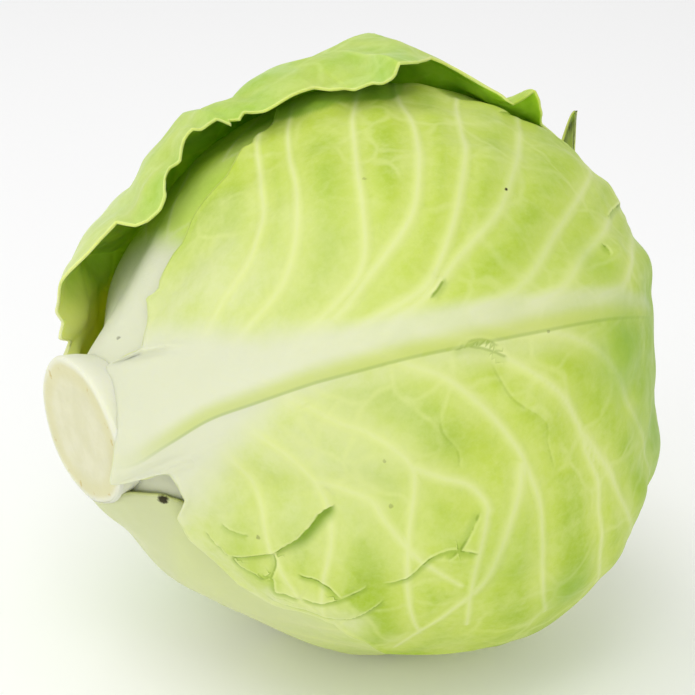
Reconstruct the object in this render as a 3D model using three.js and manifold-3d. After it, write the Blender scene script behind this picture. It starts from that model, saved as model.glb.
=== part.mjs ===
// A green cabbage head lying on its side: a cut stem with its core, a dense heart of folded leaves,
// and six wrapper leaves, each a thin shell with a raised midrib and side veins, laid one over another.
// Millimetres, +Z up. +X runs along the head from the cut stem to the crown, and -Y is the side that the
// large front leaf faces. The origin is the middle of the small flat spot that the head rests on.
import * as THREE from "three";
import Module from "manifold-3d";
import { mergeVertices } from "three/addons/utils/BufferGeometryUtils.js";

const wasm = await Module();
wasm.setup();

// Driving dimensions.
const HEAD_CENTRE = new THREE.Vector3(0, 0, 82);
const HEAD_SEMI = new THREE.Vector3(79, 85.5, 84); // outside of the head: along its axis, across, up
const HEAD_BULGES = [ // where the head is fuller or flatter than that: [towards, mm, spread in degrees]
  [new THREE.Vector3(0.68, -0.17, 0.71).normalize(), 5, 19],
  [new THREE.Vector3(0.2, -0.75, -0.63).normalize(), 2.6, 18],
  [new THREE.Vector3(-0.87, -0.1, -0.48).normalize(), 4, 12],
  [new THREE.Vector3(-0.55, -0.2, -0.81).normalize(), -2, 15],
];
const WRAP_DEPTH = 7.9; // from the outside of the head down to the heart: three leaves deep
const CROWN_DEPTH = 9.6; // the same at the crown, where the tips meet
const FLOOR_STACK = 6.8; // leaves between the heart and the surface that the head rests on
const REST_RADIUS = 21; // of the flat spot that it rests on
const LEAF_GAP = 1.2; // air between one leaf and the next
const BLADE = 1.3; // thickness of a leaf between its veins
const BLADE_EDGE = 0.9; // thickness at its margin

const STEM_TILT = new THREE.Vector3(-94, 2, 4).normalize(); // from the head's centre to the cut
const STEM_REACH = 94.3; // head centre to the cut face
const STEM_ANGLE = 13.5; // half-angle of the flaring stem, degrees
const BASE_ANGLE = 14.4; // leaf bases start this far from the stem's line, degrees
const NECK_RISE = 19; // how far the leaf bases draw out towards the stem
const NECK_SPREAD = 18; // degrees
const CUT_FACING = new THREE.Vector3(-0.993, -0.07, -0.07).normalize(); // the way the cut face looks
const CORE_DEPTH = 64; // the core's length inside the head
const CORE_END = 7; // radius of the core's blunt inner end
const CORE_MIDDLE = 13; // its radius half way
const CORE_CLEARANCE = 0.4;
const STEM_SIDES = 28;
const TO_STEM = new THREE.Quaternion().setFromUnitVectors(new THREE.Vector3(0, 1, 0), STEM_TILT);

const HEART_ROWS = 22;
const HEART_COLUMNS = 28;
const HEART_FOLD_STEP = 0.4; // height of the steps where the heart's own outer leaves end
const HEART_SHOULDER = 10; // the heart ends this far behind the stem's cut
const COVER_REST = 1.5; // degrees that a leaf carries on past the edge of the leaf under it
const COVER_FADE = 10; // and degrees over which it then comes down
const RIB_SKIRT = 1.7; // a midrib's flanks run out over this many of its half-widths
const VEIN_SWEEP = 0.4; // how far the side veins lean forward towards the margin
const ROLL_START = 0.3; // share of the blade from which a standing margin starts to rise
const ROLL_SHARE = 0.78; // and where its roll is
const COLUMN_CROWDING = 0.4; // how much closer a leaf's grid is at the midrib

// The leaves from the innermost outwards, about 137 degrees apart round the stem. Angles in degrees.
// turn: where the midrib lies round the head, 0 at -Y and 90 at the top. middle: from the stem's pole to
// the leaf's middle. skew: the midrib's swing from the head's own line. outline: how far the blade reaches
// from its middle [bearing from the tip, reach]. rib: height at the foot and the tip, and half-width at
// both. vein: height of the side veins. lifts: how far the blade stands off what is under it [bearing, mm
// at its roll, mm at its margin]. ragged: depth of the teeth of its torn edge, in degrees. grid: rows and
// columns.
const INNER_OUTLINE = [
  [-150, 80], [-120, 78], [-90, 76], [-60, 78], [-30, 80], [0, 82], [30, 80], [60, 78], [90, 76],
  [120, 78], [150, 80], [180, 80],
];
const LEAVES = [
  {
    name: "leaf_back_lower", turn: -157.5, middle: 84, skew: 0, outline: INNER_OUTLINE,
    rib: [2.2, 0.8, 14, 4], vein: 0.4, lifts: [], ragged: 0.5, grid: [20, 16],
  },
  {
    name: "leaf_front_inner", turn: -20, middle: 84, skew: 0, outline: INNER_OUTLINE,
    rib: [1.8, 0.8, 14, 4], vein: 0.4, lifts: [], ragged: 0.5, grid: [20, 16],
  },
  {
    name: "leaf_upper", turn: 104, middle: 84, skew: 0,
    outline: [
      [-150, 80], [-120, 80], [-90, 78], [-60, 78], [-30, 78], [0, 80], [30, 78], [60, 76], [90, 78],
      [120, 80], [150, 80], [180, 80],
    ],
    rib: [3.2, 1.0, 16, 4], vein: 0.4, lifts: [], ragged: 0.5, grid: [20, 18],
  },
  {
    name: "leaf_bottom", turn: -97, middle: 84, skew: 0,
    outline: [
      [-150, 80], [-120, 80], [-90, 78], [-60, 80], [-30, 84], [0, 86], [30, 84], [60, 80], [90, 78],
      [120, 80], [150, 80], [180, 80],
    ],
    rib: [3.0, 1.0, 16, 4], vein: 0.5, lifts: [], ragged: 0.5, grid: [20, 18],
  },
  {
    name: "leaf_front", turn: 33, middle: 82, skew: 5,
    outline: [
      [-172, 80], [-162, 76], [-148, 69], [-126, 65], [-108, 71], [-85, 87], [-60, 94], [-30, 97],
      [0, 98], [30, 97], [60, 90], [90, 78], [112, 66], [132, 66], [150, 72], [165, 81], [180, 80],
    ],
    rib: [5.0, 1.6, 18, 4], vein: 0.9,
    lifts: [[-165, 0, 0], [-140, 1, 2.5], [-115, 0, 0]], ragged: 0.8, grid: [24, 22],
  },
  {
    name: "leaf_back", turn: 170, middle: 85, skew: 0,
    outline: [
      [-178, 71], [-170, 68], [-164, 61], [-158, 65.5], [-148, 68], [-139, 72], [-131, 67], [-124, 64.5],
      [-117, 71], [-109, 74.5], [-100, 75], [-94, 81], [-88, 84.5], [-81, 81], [-73, 76], [-67, 86],
      [-60, 92], [-50, 90], [-20, 88], [20, 86], [50, 79], [80, 72], [110, 72], [145, 74], [170, 72],
    ],
    rib: [4.0, 1.4, 17, 4], vein: 0.8,
    lifts: [
      [-177, 0, 0], [-169, 5, 6], [-163, 12, 13], [-158, 12, 13], [-150, 10.5, 10], [-145, 9, 7],
      [-139, 7, 4], [-132, 8.5, 5], [-124, 9, 7], [-118, 9, 4.5], [-110, 4.5, 4], [-100, 6, 3.5],
      [-92, 6.5, 3.5], [-85, 8, 7], [-78, 11, 8], [-73, 9, 6], [-68, 5, 4], [-62, 2.5, 3], [-54, 1.5, 3],
      [-46, 0, 0],
    ],
    ragged: 0.8, grid: [26, 24],
  },
];

const DEG = Math.PI / 180;
const clamp01 = (x) => Math.min(1, Math.max(0, x));
const smooth = (x) => clamp01(x) ** 2 * (3 - 2 * clamp01(x));
const mix = (a, b, t) => a + (b - a) * t;
const turnBetween = (a, b) => ((((a - b) % 360) + 540) % 360) - 180; // degrees, -180 to 180

// The heart's surface, as a distance from the head's centre.
function heartRadius(d) {
  const body = 1 / Math.hypot(d.x / HEAD_SEMI.x, d.y / HEAD_SEMI.y, d.z / HEAD_SEMI.z);
  const fromStem = Math.acos(Math.min(1, d.dot(STEM_TILT))) / DEG;
  const depth = mix(WRAP_DEPTH, CROWN_DEPTH, smooth((d.x - 0.3) / 0.6));
  let free = body - depth + NECK_RISE * Math.exp(-((fromStem / NECK_SPREAD) ** 2));
  for (const [towards, height, spread] of HEAD_BULGES) {
    const away = Math.acos(Math.min(1, d.dot(towards))) / DEG;
    free += height * Math.exp(-((away / spread) ** 2));
  }
  if (d.z > -0.2) return free;
  const floor = (HEAD_CENTRE.z - FLOOR_STACK) / -d.z;
  const blend = 0.8; // millimetres over which the round body turns into the flat one
  const lower = Math.min(free, floor);
  return lower - blend * Math.log(1 + Math.exp(-Math.abs(free - floor) / blend));
}

// A leaf's own directions: its middle, along its midrib to the tip, and sideways.
function leafFrame(leaf) {
  const outward = new THREE.Vector3(0, -Math.cos(leaf.turn * DEG), Math.sin(leaf.turn * DEG));
  const axis = new THREE.Vector3(1, 0, 0);
  const cos = Math.cos(leaf.middle * DEG);
  const sin = Math.sin(leaf.middle * DEG);
  const middle = axis.clone().multiplyScalar(-cos).addScaledVector(outward, sin);
  const along = axis.clone().multiplyScalar(sin).addScaledVector(outward, cos);
  along.applyAxisAngle(middle, leaf.skew * DEG);
  const side = middle.clone().cross(along);
  return { middle, along, side };
}

// How far the blade reaches from its middle at a bearing, both in degrees: a smooth closed line through
// the outline's points.
function reach(leaf, bearing) {
  const points = leaf.outline;
  const n = points.length;
  let k = 0;
  const after = (i) => (((bearing - points[i][0]) % 360) + 360) % 360;
  for (let i = 1; i < n; i++) if (after(i) < after(k)) k = i;
  const next = (k + 1) % n;
  const gap = (((points[next][0] - points[k][0]) % 360) + 360) % 360;
  const t = after(k) / gap;
  const [r0, r1, r2, r3] = [k + n - 1, k, next, next + 1].map((i) => points[i % n][1]);
  const bend = 2 * r0 - 5 * r1 + 4 * r2 - r3;
  const twist = 3 * (r1 - r2) + r3 - r0;
  const spline = r1 + 0.5 * t * (r2 - r0 + t * (bend + t * twist));
  return Math.min(spline + leaf.ragged * teeth(bearing), reachToStem(leaf, bearing));
}

// The uneven teeth of a torn edge, from -1 to 1.
function teeth(bearing) {
  return 0.55 * Math.sin(17 * bearing * DEG) + 0.45 * Math.sin(29 * bearing * DEG + 1);
}

// The distance at which a bearing meets the ring where the leaf bases start, or a large number.
function reachToStem(leaf, bearing) {
  const { middle, along, side } = leaf.frame;
  const toStem = Math.acos(middle.dot(STEM_TILT));
  const stemBearing = Math.atan2(STEM_TILT.dot(side), STEM_TILT.dot(along));
  const cosOff = Math.cos(bearing * DEG - stemBearing);
  const a = Math.cos(toStem);
  const b = Math.sin(toStem) * cosOff;
  const share = Math.cos(BASE_ANGLE * DEG) / Math.hypot(a, b);
  if (cosOff < 0 || share > 1) return 1000;
  return (Math.atan2(b, a) - Math.acos(share)) / DEG;
}

// A direction as the leaf sees it: distance from its middle and bearing, in degrees, and the angles
// along the midrib and to the side of it.
function seenFrom(leaf, d) {
  const { middle, along, side } = leaf.frame;
  const x = d.dot(along);
  const y = d.dot(side);
  const z = d.dot(middle);
  return {
    far: Math.acos(Math.max(-1, Math.min(1, z))) / DEG,
    bearing: Math.atan2(y, x) / DEG,
    lengthways: Math.atan2(x, z) / DEG,
    sideways: Math.asin(Math.max(-1, Math.min(1, y))) / DEG,
  };
}

// The midrib's height over the blade.
function ribHeight(leaf, seen) {
  if (Math.abs(seen.lengthways) > 120) return 0;
  const toTip = clamp01((seen.lengthways + leaf.middle) / (leaf.middle + reach(leaf, 0)));
  const [footHeight, tipHeight, footWidth, tipWidth] = leaf.rib;
  const height = mix(footHeight, tipHeight, toTip ** 0.6);
  const width = mix(footWidth, tipWidth, toTip ** 0.5);
  const off = (seen.sideways * DEG * HEAD_SEMI.y) / (RIB_SKIRT * width);
  return Math.abs(off) < 1 ? height * (1 - off * off) ** 2 : 0;
}

// The height over the heart of the first "count" leaves.
function stackHeight(d, count) {
  let height = 0;
  for (const leaf of LEAVES.slice(0, count)) {
    const seen = seenFrom(leaf, d);
    const over = reach(leaf, seen.bearing) + COVER_REST + COVER_FADE - seen.far;
    const cover = smooth(over / COVER_FADE);
    if (cover > 0) height += cover * (BLADE + LEAF_GAP + ribHeight(leaf, seen));
  }
  return height;
}

// What the next leaf lies on: the heart and the first "count" leaves, at their highest within half a grid
// cell of a direction, so that the flat faces spread over them stay clear.
function supportRadius(d, count) {
  const nearby = 5 * DEG;
  let highest = stackHeight(d, count);
  const across = new THREE.Vector3(0, 0, 1).cross(d).normalize();
  const upwards = d.clone().cross(across);
  for (let turn = 0; turn < 360; turn += 45) {
    const near = d.clone().addScaledVector(across, nearby * Math.cos(turn * DEG))
      .addScaledVector(upwards, nearby * Math.sin(turn * DEG)).normalize();
    highest = Math.max(highest, stackHeight(near, count));
  }
  return heartRadius(d) + highest;
}

// How far the blade stands off what is under it: rising to a roll near the margin, and on to the margin.
function liftAt(leaf, bearing, share) {
  const next = leaf.lifts.findIndex(([at]) => at > bearing);
  if (next < 1) return 0;
  const [from, fromRoll, fromMargin] = leaf.lifts[next - 1];
  const [to, toRoll, toMargin] = leaf.lifts[next];
  const t = smooth((bearing - from) / (to - from));
  const roll = mix(fromRoll, toRoll, t) * smooth((share - ROLL_START) / (ROLL_SHARE - ROLL_START));
  return mix(roll, mix(fromMargin, toMargin, t), smooth((share - ROLL_SHARE) / (1 - ROLL_SHARE)));
}

// A point of the leaf's grid, from -1 to 1 both ways, as a distance share and a bearing. Rows follow the
// side veins, which sweep forward from the midrib.
function gridPoint(row, column) {
  const crowded = (1 - COLUMN_CROWDING) * Math.abs(column) + COLUMN_CROWDING * column * column;
  const y = Math.sign(column) * crowded;
  const x = row + VEIN_SWEEP * (1 - row * row) * (crowded - 0.4);
  const px = x * Math.sqrt(1 - (y * y) / 2);
  const py = y * Math.sqrt(1 - (x * x) / 2);
  return { share: Math.hypot(px, py), bearing: Math.atan2(py, px) / DEG };
}

// Both faces of a leaf at one point of its grid.
function leafPoint(leaf, layer, i, j) {
  const [rows, columns] = leaf.grid;
  const row = (2 * i) / rows - 1;
  const column = (2 * j) / columns - 1;
  const { share, bearing } = gridPoint(row, column);
  const far = share * reach(leaf, bearing) * DEG;
  const { middle, along, side } = leaf.frame;
  const outwards = along.clone().multiplyScalar(Math.cos(bearing * DEG))
    .addScaledVector(side, Math.sin(bearing * DEG));
  const d = middle.clone().multiplyScalar(Math.cos(far)).addScaledVector(outwards, Math.sin(far));
  const seen = seenFrom(leaf, d);
  const onVein = i % 2 === 1 && j !== columns / 2; // every other row is a pair of side veins
  const veinHeight = onVein ? leaf.vein * Math.sqrt(1 - Math.abs(column)) : 0;
  const under = supportRadius(d, layer) + LEAF_GAP + liftAt(leaf, bearing, share);
  const thick = mix(BLADE, BLADE_EDGE, share ** 6) + ribHeight(leaf, seen) + veinHeight;
  const inner = d.clone().multiplyScalar(under).add(HEAD_CENTRE);
  const outer = d.clone().multiplyScalar(under + thick).add(HEAD_CENTRE);
  if (leaf.name === "leaf_bottom") {
    outer.z = Math.hypot(outer.x, outer.y) < REST_RADIUS ? 0 : Math.max(outer.z, 0);
    inner.z = Math.max(inner.z, BLADE_EDGE);
  }
  return [inner, outer];
}

// A closed shell from a grid of [inner, outer] points.
function shellGeometry(points) {
  const rows = points.length - 1;
  const columns = points[0].length - 1;
  const positions = [];
  const index = [];
  const id = (i, j, face) => ((i * (columns + 1) + j) * 2 + face);
  for (const line of points) for (const pair of line) for (const p of pair) positions.push(p.x, p.y, p.z);
  const quad = (a, b, c, d) => index.push(a, b, c, a, c, d);
  for (let i = 0; i < rows; i++) {
    for (let j = 0; j < columns; j++) {
      const corners = [[i, j], [i + 1, j], [i + 1, j + 1], [i, j + 1]];
      const [p, q, r, s] = corners.map(([u, v]) => points[u][v][1]);
      if (q.distanceTo(s) < p.distanceTo(r)) corners.push(corners.shift()); // both faces split alike
      const [a, b, c, d] = corners;
      quad(id(...a, 1), id(...b, 1), id(...c, 1), id(...d, 1));
      index.push(id(...a, 0), id(...c, 0), id(...b, 0), id(...a, 0), id(...d, 0), id(...c, 0));
    }
  }
  for (let i = 0; i < rows; i++) {
    quad(id(i, 0, 0), id(i + 1, 0, 0), id(i + 1, 0, 1), id(i, 0, 1));
    quad(id(i + 1, columns, 0), id(i, columns, 0), id(i, columns, 1), id(i + 1, columns, 1));
  }
  for (let j = 0; j < columns; j++) {
    quad(id(0, j + 1, 0), id(0, j, 0), id(0, j, 1), id(0, j + 1, 1));
    quad(id(rows, j, 0), id(rows, j + 1, 0), id(rows, j + 1, 1), id(rows, j, 1));
  }
  const geometry = new THREE.BufferGeometry();
  geometry.setAttribute("position", new THREE.Float32BufferAttribute(positions, 3));
  geometry.setIndex(index);
  return geometry;
}

function leafGeometry(leaf, layer) {
  const points = [];
  const [rows, columns] = leaf.grid;
  for (let i = 0; i <= rows; i++) {
    points.push([]);
    for (let j = 0; j <= columns; j++) points[i].push(leafPoint(leaf, layer, i, j));
  }
  return shellGeometry(points);
}

// The stem and its core turned about the stem's line: [distance from the head's centre, radius].
function stemProfile(clearance) {
  const widen = Math.tan(STEM_ANGLE * DEG);
  const coreTop = STEM_REACH - 12;
  const coreEnd = STEM_REACH - CORE_DEPTH;
  const rim = STEM_REACH * widen - 1.6;
  return [
    [coreEnd - clearance, 0],
    [coreEnd - clearance, CORE_END * 0.6],
    [coreEnd + 2 - clearance, CORE_END + clearance],
    [mix(coreEnd, coreTop, 0.5), CORE_MIDDLE + clearance],
    [coreTop, coreTop * widen - 1.2 + clearance],
    [STEM_REACH - 1, rim],
    [STEM_REACH, rim - 0.9],
    [STEM_REACH, 0],
  ];
}

// A body turned about the stem's line, its cut face slanted.
function turned(profile) {
  const outline = profile.map(([along, radius]) => new THREE.Vector2(radius, along));
  const geometry = new THREE.LatheGeometry(outline, STEM_SIDES);
  const facing = CUT_FACING.clone().applyQuaternion(TO_STEM.clone().invert());
  const position = geometry.getAttribute("position");
  for (let i = 0; i < position.count; i++) {
    if (position.getY(i) < STEM_REACH - 2) continue;
    const slope = (position.getX(i) * facing.x + position.getZ(i) * facing.z) / facing.y;
    position.setY(i, position.getY(i) - slope);
  }
  geometry.applyQuaternion(TO_STEM);
  return geometry.translate(HEAD_CENTRE.x, HEAD_CENTRE.y, HEAD_CENTRE.z);
}

// The heart: a closed ball whose surface steps where its own folded leaves end.
const HEART_FOLDS = [65, -72, 150, 12].map((turn) => ({
  turn, middle: 84, skew: 0, outline: INNER_OUTLINE, ragged: 0,
}));

function heartPoint(d) {
  let radius = heartRadius(d);
  for (const fold of HEART_FOLDS) {
    const seen = seenFrom(fold, d);
    radius -= HEART_FOLD_STEP * (1 - smooth((reach(fold, seen.bearing) - seen.far) / 3));
  }
  const shoulder = (STEM_REACH - HEART_SHOULDER) / Math.max(0.2, d.dot(STEM_TILT));
  return d.clone().multiplyScalar(Math.min(radius, shoulder)).add(HEAD_CENTRE);
}

function heartGeometry() {
  const ball = new THREE.SphereGeometry(1, HEART_COLUMNS, HEART_ROWS);
  ball.applyQuaternion(TO_STEM);
  const position = ball.getAttribute("position");
  const d = new THREE.Vector3();
  for (let i = 0; i < position.count; i++) {
    const p = heartPoint(d.fromBufferAttribute(position, i).normalize());
    position.setXYZ(i, p.x, p.y, p.z);
  }
  return ball;
}

// A geometry as a solid, and a solid as a geometry.
function solidOf(geometry) {
  const bare = geometry.clone();
  bare.deleteAttribute("normal");
  bare.deleteAttribute("uv");
  const merged = mergeVertices(bare, 1e-4);
  return new wasm.Manifold(new wasm.Mesh({
    numProp: 3,
    vertProperties: new Float32Array(merged.attributes.position.array),
    triVerts: new Uint32Array(merged.index.array),
  }));
}

function geometryOf(solid) {
  const mesh = solid.getMesh();
  const geometry = new THREE.BufferGeometry();
  geometry.setAttribute("position", new THREE.BufferAttribute(mesh.vertProperties, 3));
  geometry.setIndex(new THREE.BufferAttribute(mesh.triVerts, 1));
  geometry.computeVertexNormals();
  return geometry;
}

// Materials.
const leafSkin = (colour) => new THREE.MeshStandardMaterial({
  color: colour, roughness: 0.45, metalness: 0, flatShading: true,
});
const OUTER_GREEN = leafSkin("#b4cc62");
const INNER_GREEN = leafSkin("#cfdc8a");
const HEART_PALE = leafSkin("#dde5a6");
const CUT_CREAM = new THREE.MeshStandardMaterial({ color: "#e6e4c4", roughness: 0.6, metalness: 0 });

const cabbage = new THREE.Group();
function add(name, geometry, material) {
  const mesh = new THREE.Mesh(geometry, material);
  mesh.name = name;
  cabbage.add(mesh);
}

for (const leaf of [...LEAVES, ...HEART_FOLDS]) leaf.frame = leafFrame(leaf);

const socket = solidOf(turned(stemProfile(CORE_CLEARANCE)));
add("stem", turned(stemProfile(0)), CUT_CREAM);
add("heart", geometryOf(solidOf(heartGeometry()).subtract(socket)), HEART_PALE);
LEAVES.forEach((leaf, layer) => {
  add(leaf.name, leafGeometry(leaf, layer), layer < 3 ? INNER_GREEN : OUTER_GREEN);
});

export default cabbage;
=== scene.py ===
import bpy
import numpy as np
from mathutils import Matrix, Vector


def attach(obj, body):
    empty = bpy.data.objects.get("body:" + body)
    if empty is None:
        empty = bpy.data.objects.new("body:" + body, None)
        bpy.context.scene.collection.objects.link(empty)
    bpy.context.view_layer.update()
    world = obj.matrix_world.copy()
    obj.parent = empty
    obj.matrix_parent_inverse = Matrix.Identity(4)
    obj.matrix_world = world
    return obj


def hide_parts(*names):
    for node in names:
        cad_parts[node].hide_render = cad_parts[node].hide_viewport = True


bl_info = {
    "name": "Cabbage head",
    "version": (1, 0, 0),
    "blender": (4, 5, 0),
    "location": "View3D > Sidebar > Cabbage",
    "description": "Dresses a green cabbage head: cut stem, folded heart and veined wrapper leaves",
    "category": "Add Mesh",
}

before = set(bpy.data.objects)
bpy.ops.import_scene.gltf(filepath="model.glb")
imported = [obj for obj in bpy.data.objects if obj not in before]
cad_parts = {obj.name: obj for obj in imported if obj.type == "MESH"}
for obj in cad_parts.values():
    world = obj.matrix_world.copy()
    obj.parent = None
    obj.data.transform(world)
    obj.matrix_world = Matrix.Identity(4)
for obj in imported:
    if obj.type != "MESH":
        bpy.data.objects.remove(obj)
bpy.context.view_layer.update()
MM = 0.001

# The head, as in the solids: +X from the cut stem to the crown, +Z up. Lengths here are millimetres from
# the head's centre, and angles are degrees, until a mesh is written in metres.
HEAD_CENTRE = np.array([0.0, 0.0, 82.0])
HEAD_SEMI = np.array([79.0, 85.5, 84.0])
HEAD_BULGES = [  # where the head is fuller or flatter: towards, millimetres, spread
    ((0.68, -0.17, 0.71), 5.0, 19.0),
    ((0.2, -0.75, -0.63), 2.6, 18.0),
    ((-0.87, -0.1, -0.48), 4.0, 12.0),
    ((-0.55, -0.2, -0.81), -2.0, 15.0),
]
WRAP_DEPTH = 7.9  # the heart under the outside of the head
CROWN_DEPTH = 9.6  # the same at the crown
FLOOR_STACK = 6.8  # room over the floor for the leaves under the heart
FLOOR_BLEND = 0.8  # how softly the flattened part meets the round
REST_RADIUS = 21.0  # the flat spot that the head rests on
LEAF_GAP = 1.2  # between one leaf and the next
LEAF_BLADE = 1.3  # a leaf's thickness
COVER_REST = 1.5  # degrees past its margin that a leaf still holds up what lies over it
COVER_FADE = 10.0  # degrees over which that grows to the whole
RIB_SKIRT = 1.7  # a midrib's width at its foot, as a share of the one given
SUPPORT_SPREAD = 5.0  # degrees round a place that hold up a leaf there
ROLL_START = 0.3  # share of the reach where a leaf starts to stand off
ROLL_SHARE = 0.78  # share of the reach where the margin's own stand-off takes over
MARGIN_BAND = 0.3  # outer share of the reach that follows the uneven margin
LEAF_PAIRS = 8  # side veins on each hand of a midrib, where the photograph shows none
# Cells along each side of a leaf's grid.
FINE_CELLS = 215
BOTTOM_CELLS = 160
UPPER_CELLS = 150
INNER_CELLS = 110

STEM_LINE = np.array([-94.0, 2.0, 4.0]) / np.linalg.norm([-94.0, 2.0, 4.0])
STEM_REACH = 94.3
STEM_ANGLE = 13.5
BASE_ANGLE = 12.2
NECK_RISE = 19.0
NECK_SPREAD = 18.0
CUT_FACING = np.array([-0.993, -0.07, -0.07]) / np.linalg.norm([-0.993, -0.07, -0.07])
HEART_SHOULDER = 10.0
HEART_FOLD_STEP = 0.4
CORE_DEPTH = 64.0
CORE_END = 7.0
CORE_MIDDLE = 13.0

# The photograph: its frame in pixels, and where the camera stands, in metres and degrees.
PHOTO_SIZE = 695
CAMERA_TURN = -32.0
CAMERA_RISE = 24.0
CAMERA_DISTANCE = 0.56
CAMERA_LENS = 100.0
CAMERA_SENSOR = 36.0
HEAD_PIXEL = (381.0, 370.0)

# Where the upper leaf is fuller: height, direction and spread in degrees.
UPPER_BULGE = 3.2
UPPER_BULGE_AT = (-0.773, 0.554, 0.307)
UPPER_BULGE_SPREAD = 12.0

INNER_OUTLINE = [
    (-150, 80), (-120, 78), (-90, 76), (-60, 78), (-30, 80), (0, 82), (30, 80), (60, 78), (90, 76),
    (120, 78), (150, 80), (180, 80),
]

# What the photograph shows, in its pixels. Along the front leaf: its midrib, its side veins, its upper
# margin over the white base of the upper leaf, its notch by the stem and its lower margin.
FRONT_MIDRIB = [
    (118, 428), (150, 412), (200, 388), (250, 372), (300, 357), (350, 344), (400, 332), (450, 322),
    (500, 313), (550, 305), (600, 299), (650, 305),
]
FRONT_VEINS = [
    [(180, 380), (200, 345), (225, 300), (250, 260), (262, 220), (262, 190), (258, 160)],
    [(225, 372), (240, 340), (280, 290), (297, 240), (297, 190), (290, 160)],
    [(290, 352), (320, 322), (340, 300), (357, 279), (365, 252), (363, 209), (357, 167), (353, 129)],
    [(312, 340), (340, 315), (372, 273), (399, 237), (414, 209), (419, 167), (414, 129), (401, 104)],
    [(350, 335), (382, 315), (424, 289), (441, 258), (454, 220), (462, 178), (464, 146), (458, 121)],
    [(395, 322), (430, 294), (458, 258), (479, 235), (500, 209), (513, 172), (519, 146), (517, 121)],
    [(470, 312), (504, 298), (529, 277), (550, 243), (567, 216), (584, 188), (590, 172)],
    [(530, 305), (561, 287), (582, 258), (599, 237), (608, 222)],
    [(595, 298), (620, 285), (628, 260), (630, 240)],
    [(262, 385), (300, 402), (340, 423), (365, 431), (393, 448), (412, 467), (414, 490), (409, 530),
     (407, 568)],
    [(412, 467), (441, 477), (470, 486), (487, 505), (485, 519), (480, 545)],
    [(360, 350), (414, 366), (445, 378), (477, 402), (500, 425), (519, 452), (529, 473), (540, 505),
     (542, 540)],
    [(521, 465), (517, 498), (500, 547), (483, 583), (458, 604)],
    [(420, 334), (475, 343), (508, 359), (536, 376), (561, 397), (578, 423), (586, 448), (595, 482),
     (599, 519)],
    [(585, 435), (610, 478), (620, 500)],
    [(480, 322), (521, 332), (561, 334), (593, 347), (612, 368), (628, 406), (641, 442), (643, 456)],
    [(215, 400), (250, 430), (285, 452), (315, 480), (330, 505), (332, 540), (325, 575)],
    [(315, 480), (345, 488), (372, 500), (385, 520)],
    [(190, 415), (220, 445), (240, 470), (262, 505), (270, 535)],
]
FRONT_UPPER_MARGIN = [
    (136, 349), (138, 331), (140.5, 315), (140, 301), (136.5, 295), (144, 293), (152, 287), (154, 277),
    (161, 263), (168, 250), (177, 240), (188, 212), (207.5, 186), (222, 170), (231, 156), (239, 141.5),
    (249, 138), (250.5, 130), (260, 124),
]
FRONT_LOWER_MARGIN = [
    (117, 484), (133, 483), (150, 477), (168, 474), (172, 480), (177, 486), (185, 501), (176, 519),
    (190, 540), (215, 562), (240, 582), (270, 596), (300, 606), (335, 620), (365, 640), (385, 656),
]
# Tears across the lower part of the front leaf, and how far the blade above each stands over the blade
# below it, in millimetres.
# Along each one, the material paints a soft shadow below, shade in its crack and a highlight on its edge
# above; a larger step paints these more strongly.
FRONT_TEARS = [
    ([(204, 529), (221, 541), (234, 551), (256, 551), (276, 548.6), (289, 541), (302, 533), (312, 523),
      (322, 511), (337, 503)], 2.2),
    ([(276, 549), (279, 559), (275, 571)], 0.5),
    ([(234, 553), (243, 562), (258, 568), (268, 574)], 0.6),
    ([(266, 568), (276, 573), (279, 583), (289, 586), (302, 592)], 0.9),
    ([(300, 569), (322, 577), (342, 592)], 0.9),
    ([(302, 590), (325, 597), (352, 590), (368, 584)], 1.0),
    ([(268, 588), (300, 600), (330, 612), (352, 612), (385, 598)], 1.2),
    ([(222, 522), (236, 530), (250, 533)], 0.5),
    ([(380, 584), (406, 578), (427, 559), (451, 548), (478, 553)], 0.8),
    ([(480, 510), (460, 545), (447, 559)], 0.5),
    ([(429, 299), (436, 292), (443, 280)], 0.6),
    ([(608, 217), (613, 210), (618, 205)], 0.9),
    ([(601, 246), (604, 250), (606, 256)], 0.8),
    ([(498, 115), (505, 115), (511, 112)], 0.6),
    ([(535, 131), (552, 140), (568, 149)], 0.4),
    ([(449, 353), (468, 347), (488, 350), (508, 358)], 0.3),
    ([(462, 343), (480, 340), (498, 345)], 0.2),
    ([(490, 361), (511, 398), (543, 422), (546, 443), (553, 469)], 0.1),
    ([(438, 406), (441, 431), (457, 451), (460, 469)], 0.1),
]
# Where painted shade makes the front leaf deeper green, towards its right edge and lower right: pixel, spread
# in millimetres, and strength.
FRONT_DEEP_SHADE = [
    ((626, 352), 15.0, 0.85), ((640, 420), 14.0, 0.5), ((568, 590), 10.0, 0.6), ((600, 262), 12.0, 0.4),
    ((505, 560), 12.0, 0.22),
]
# The lower edge of the painted shadow, a deeper green, that the curled leaf casts on the front leaf.
CURL_SHADE = [
    (230, 141), (250, 128), (268, 120), (295, 116), (321, 111), (336, 104.5), (360, 100.6), (386, 100.6),
    (400, 95), (404, 84),
]
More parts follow.
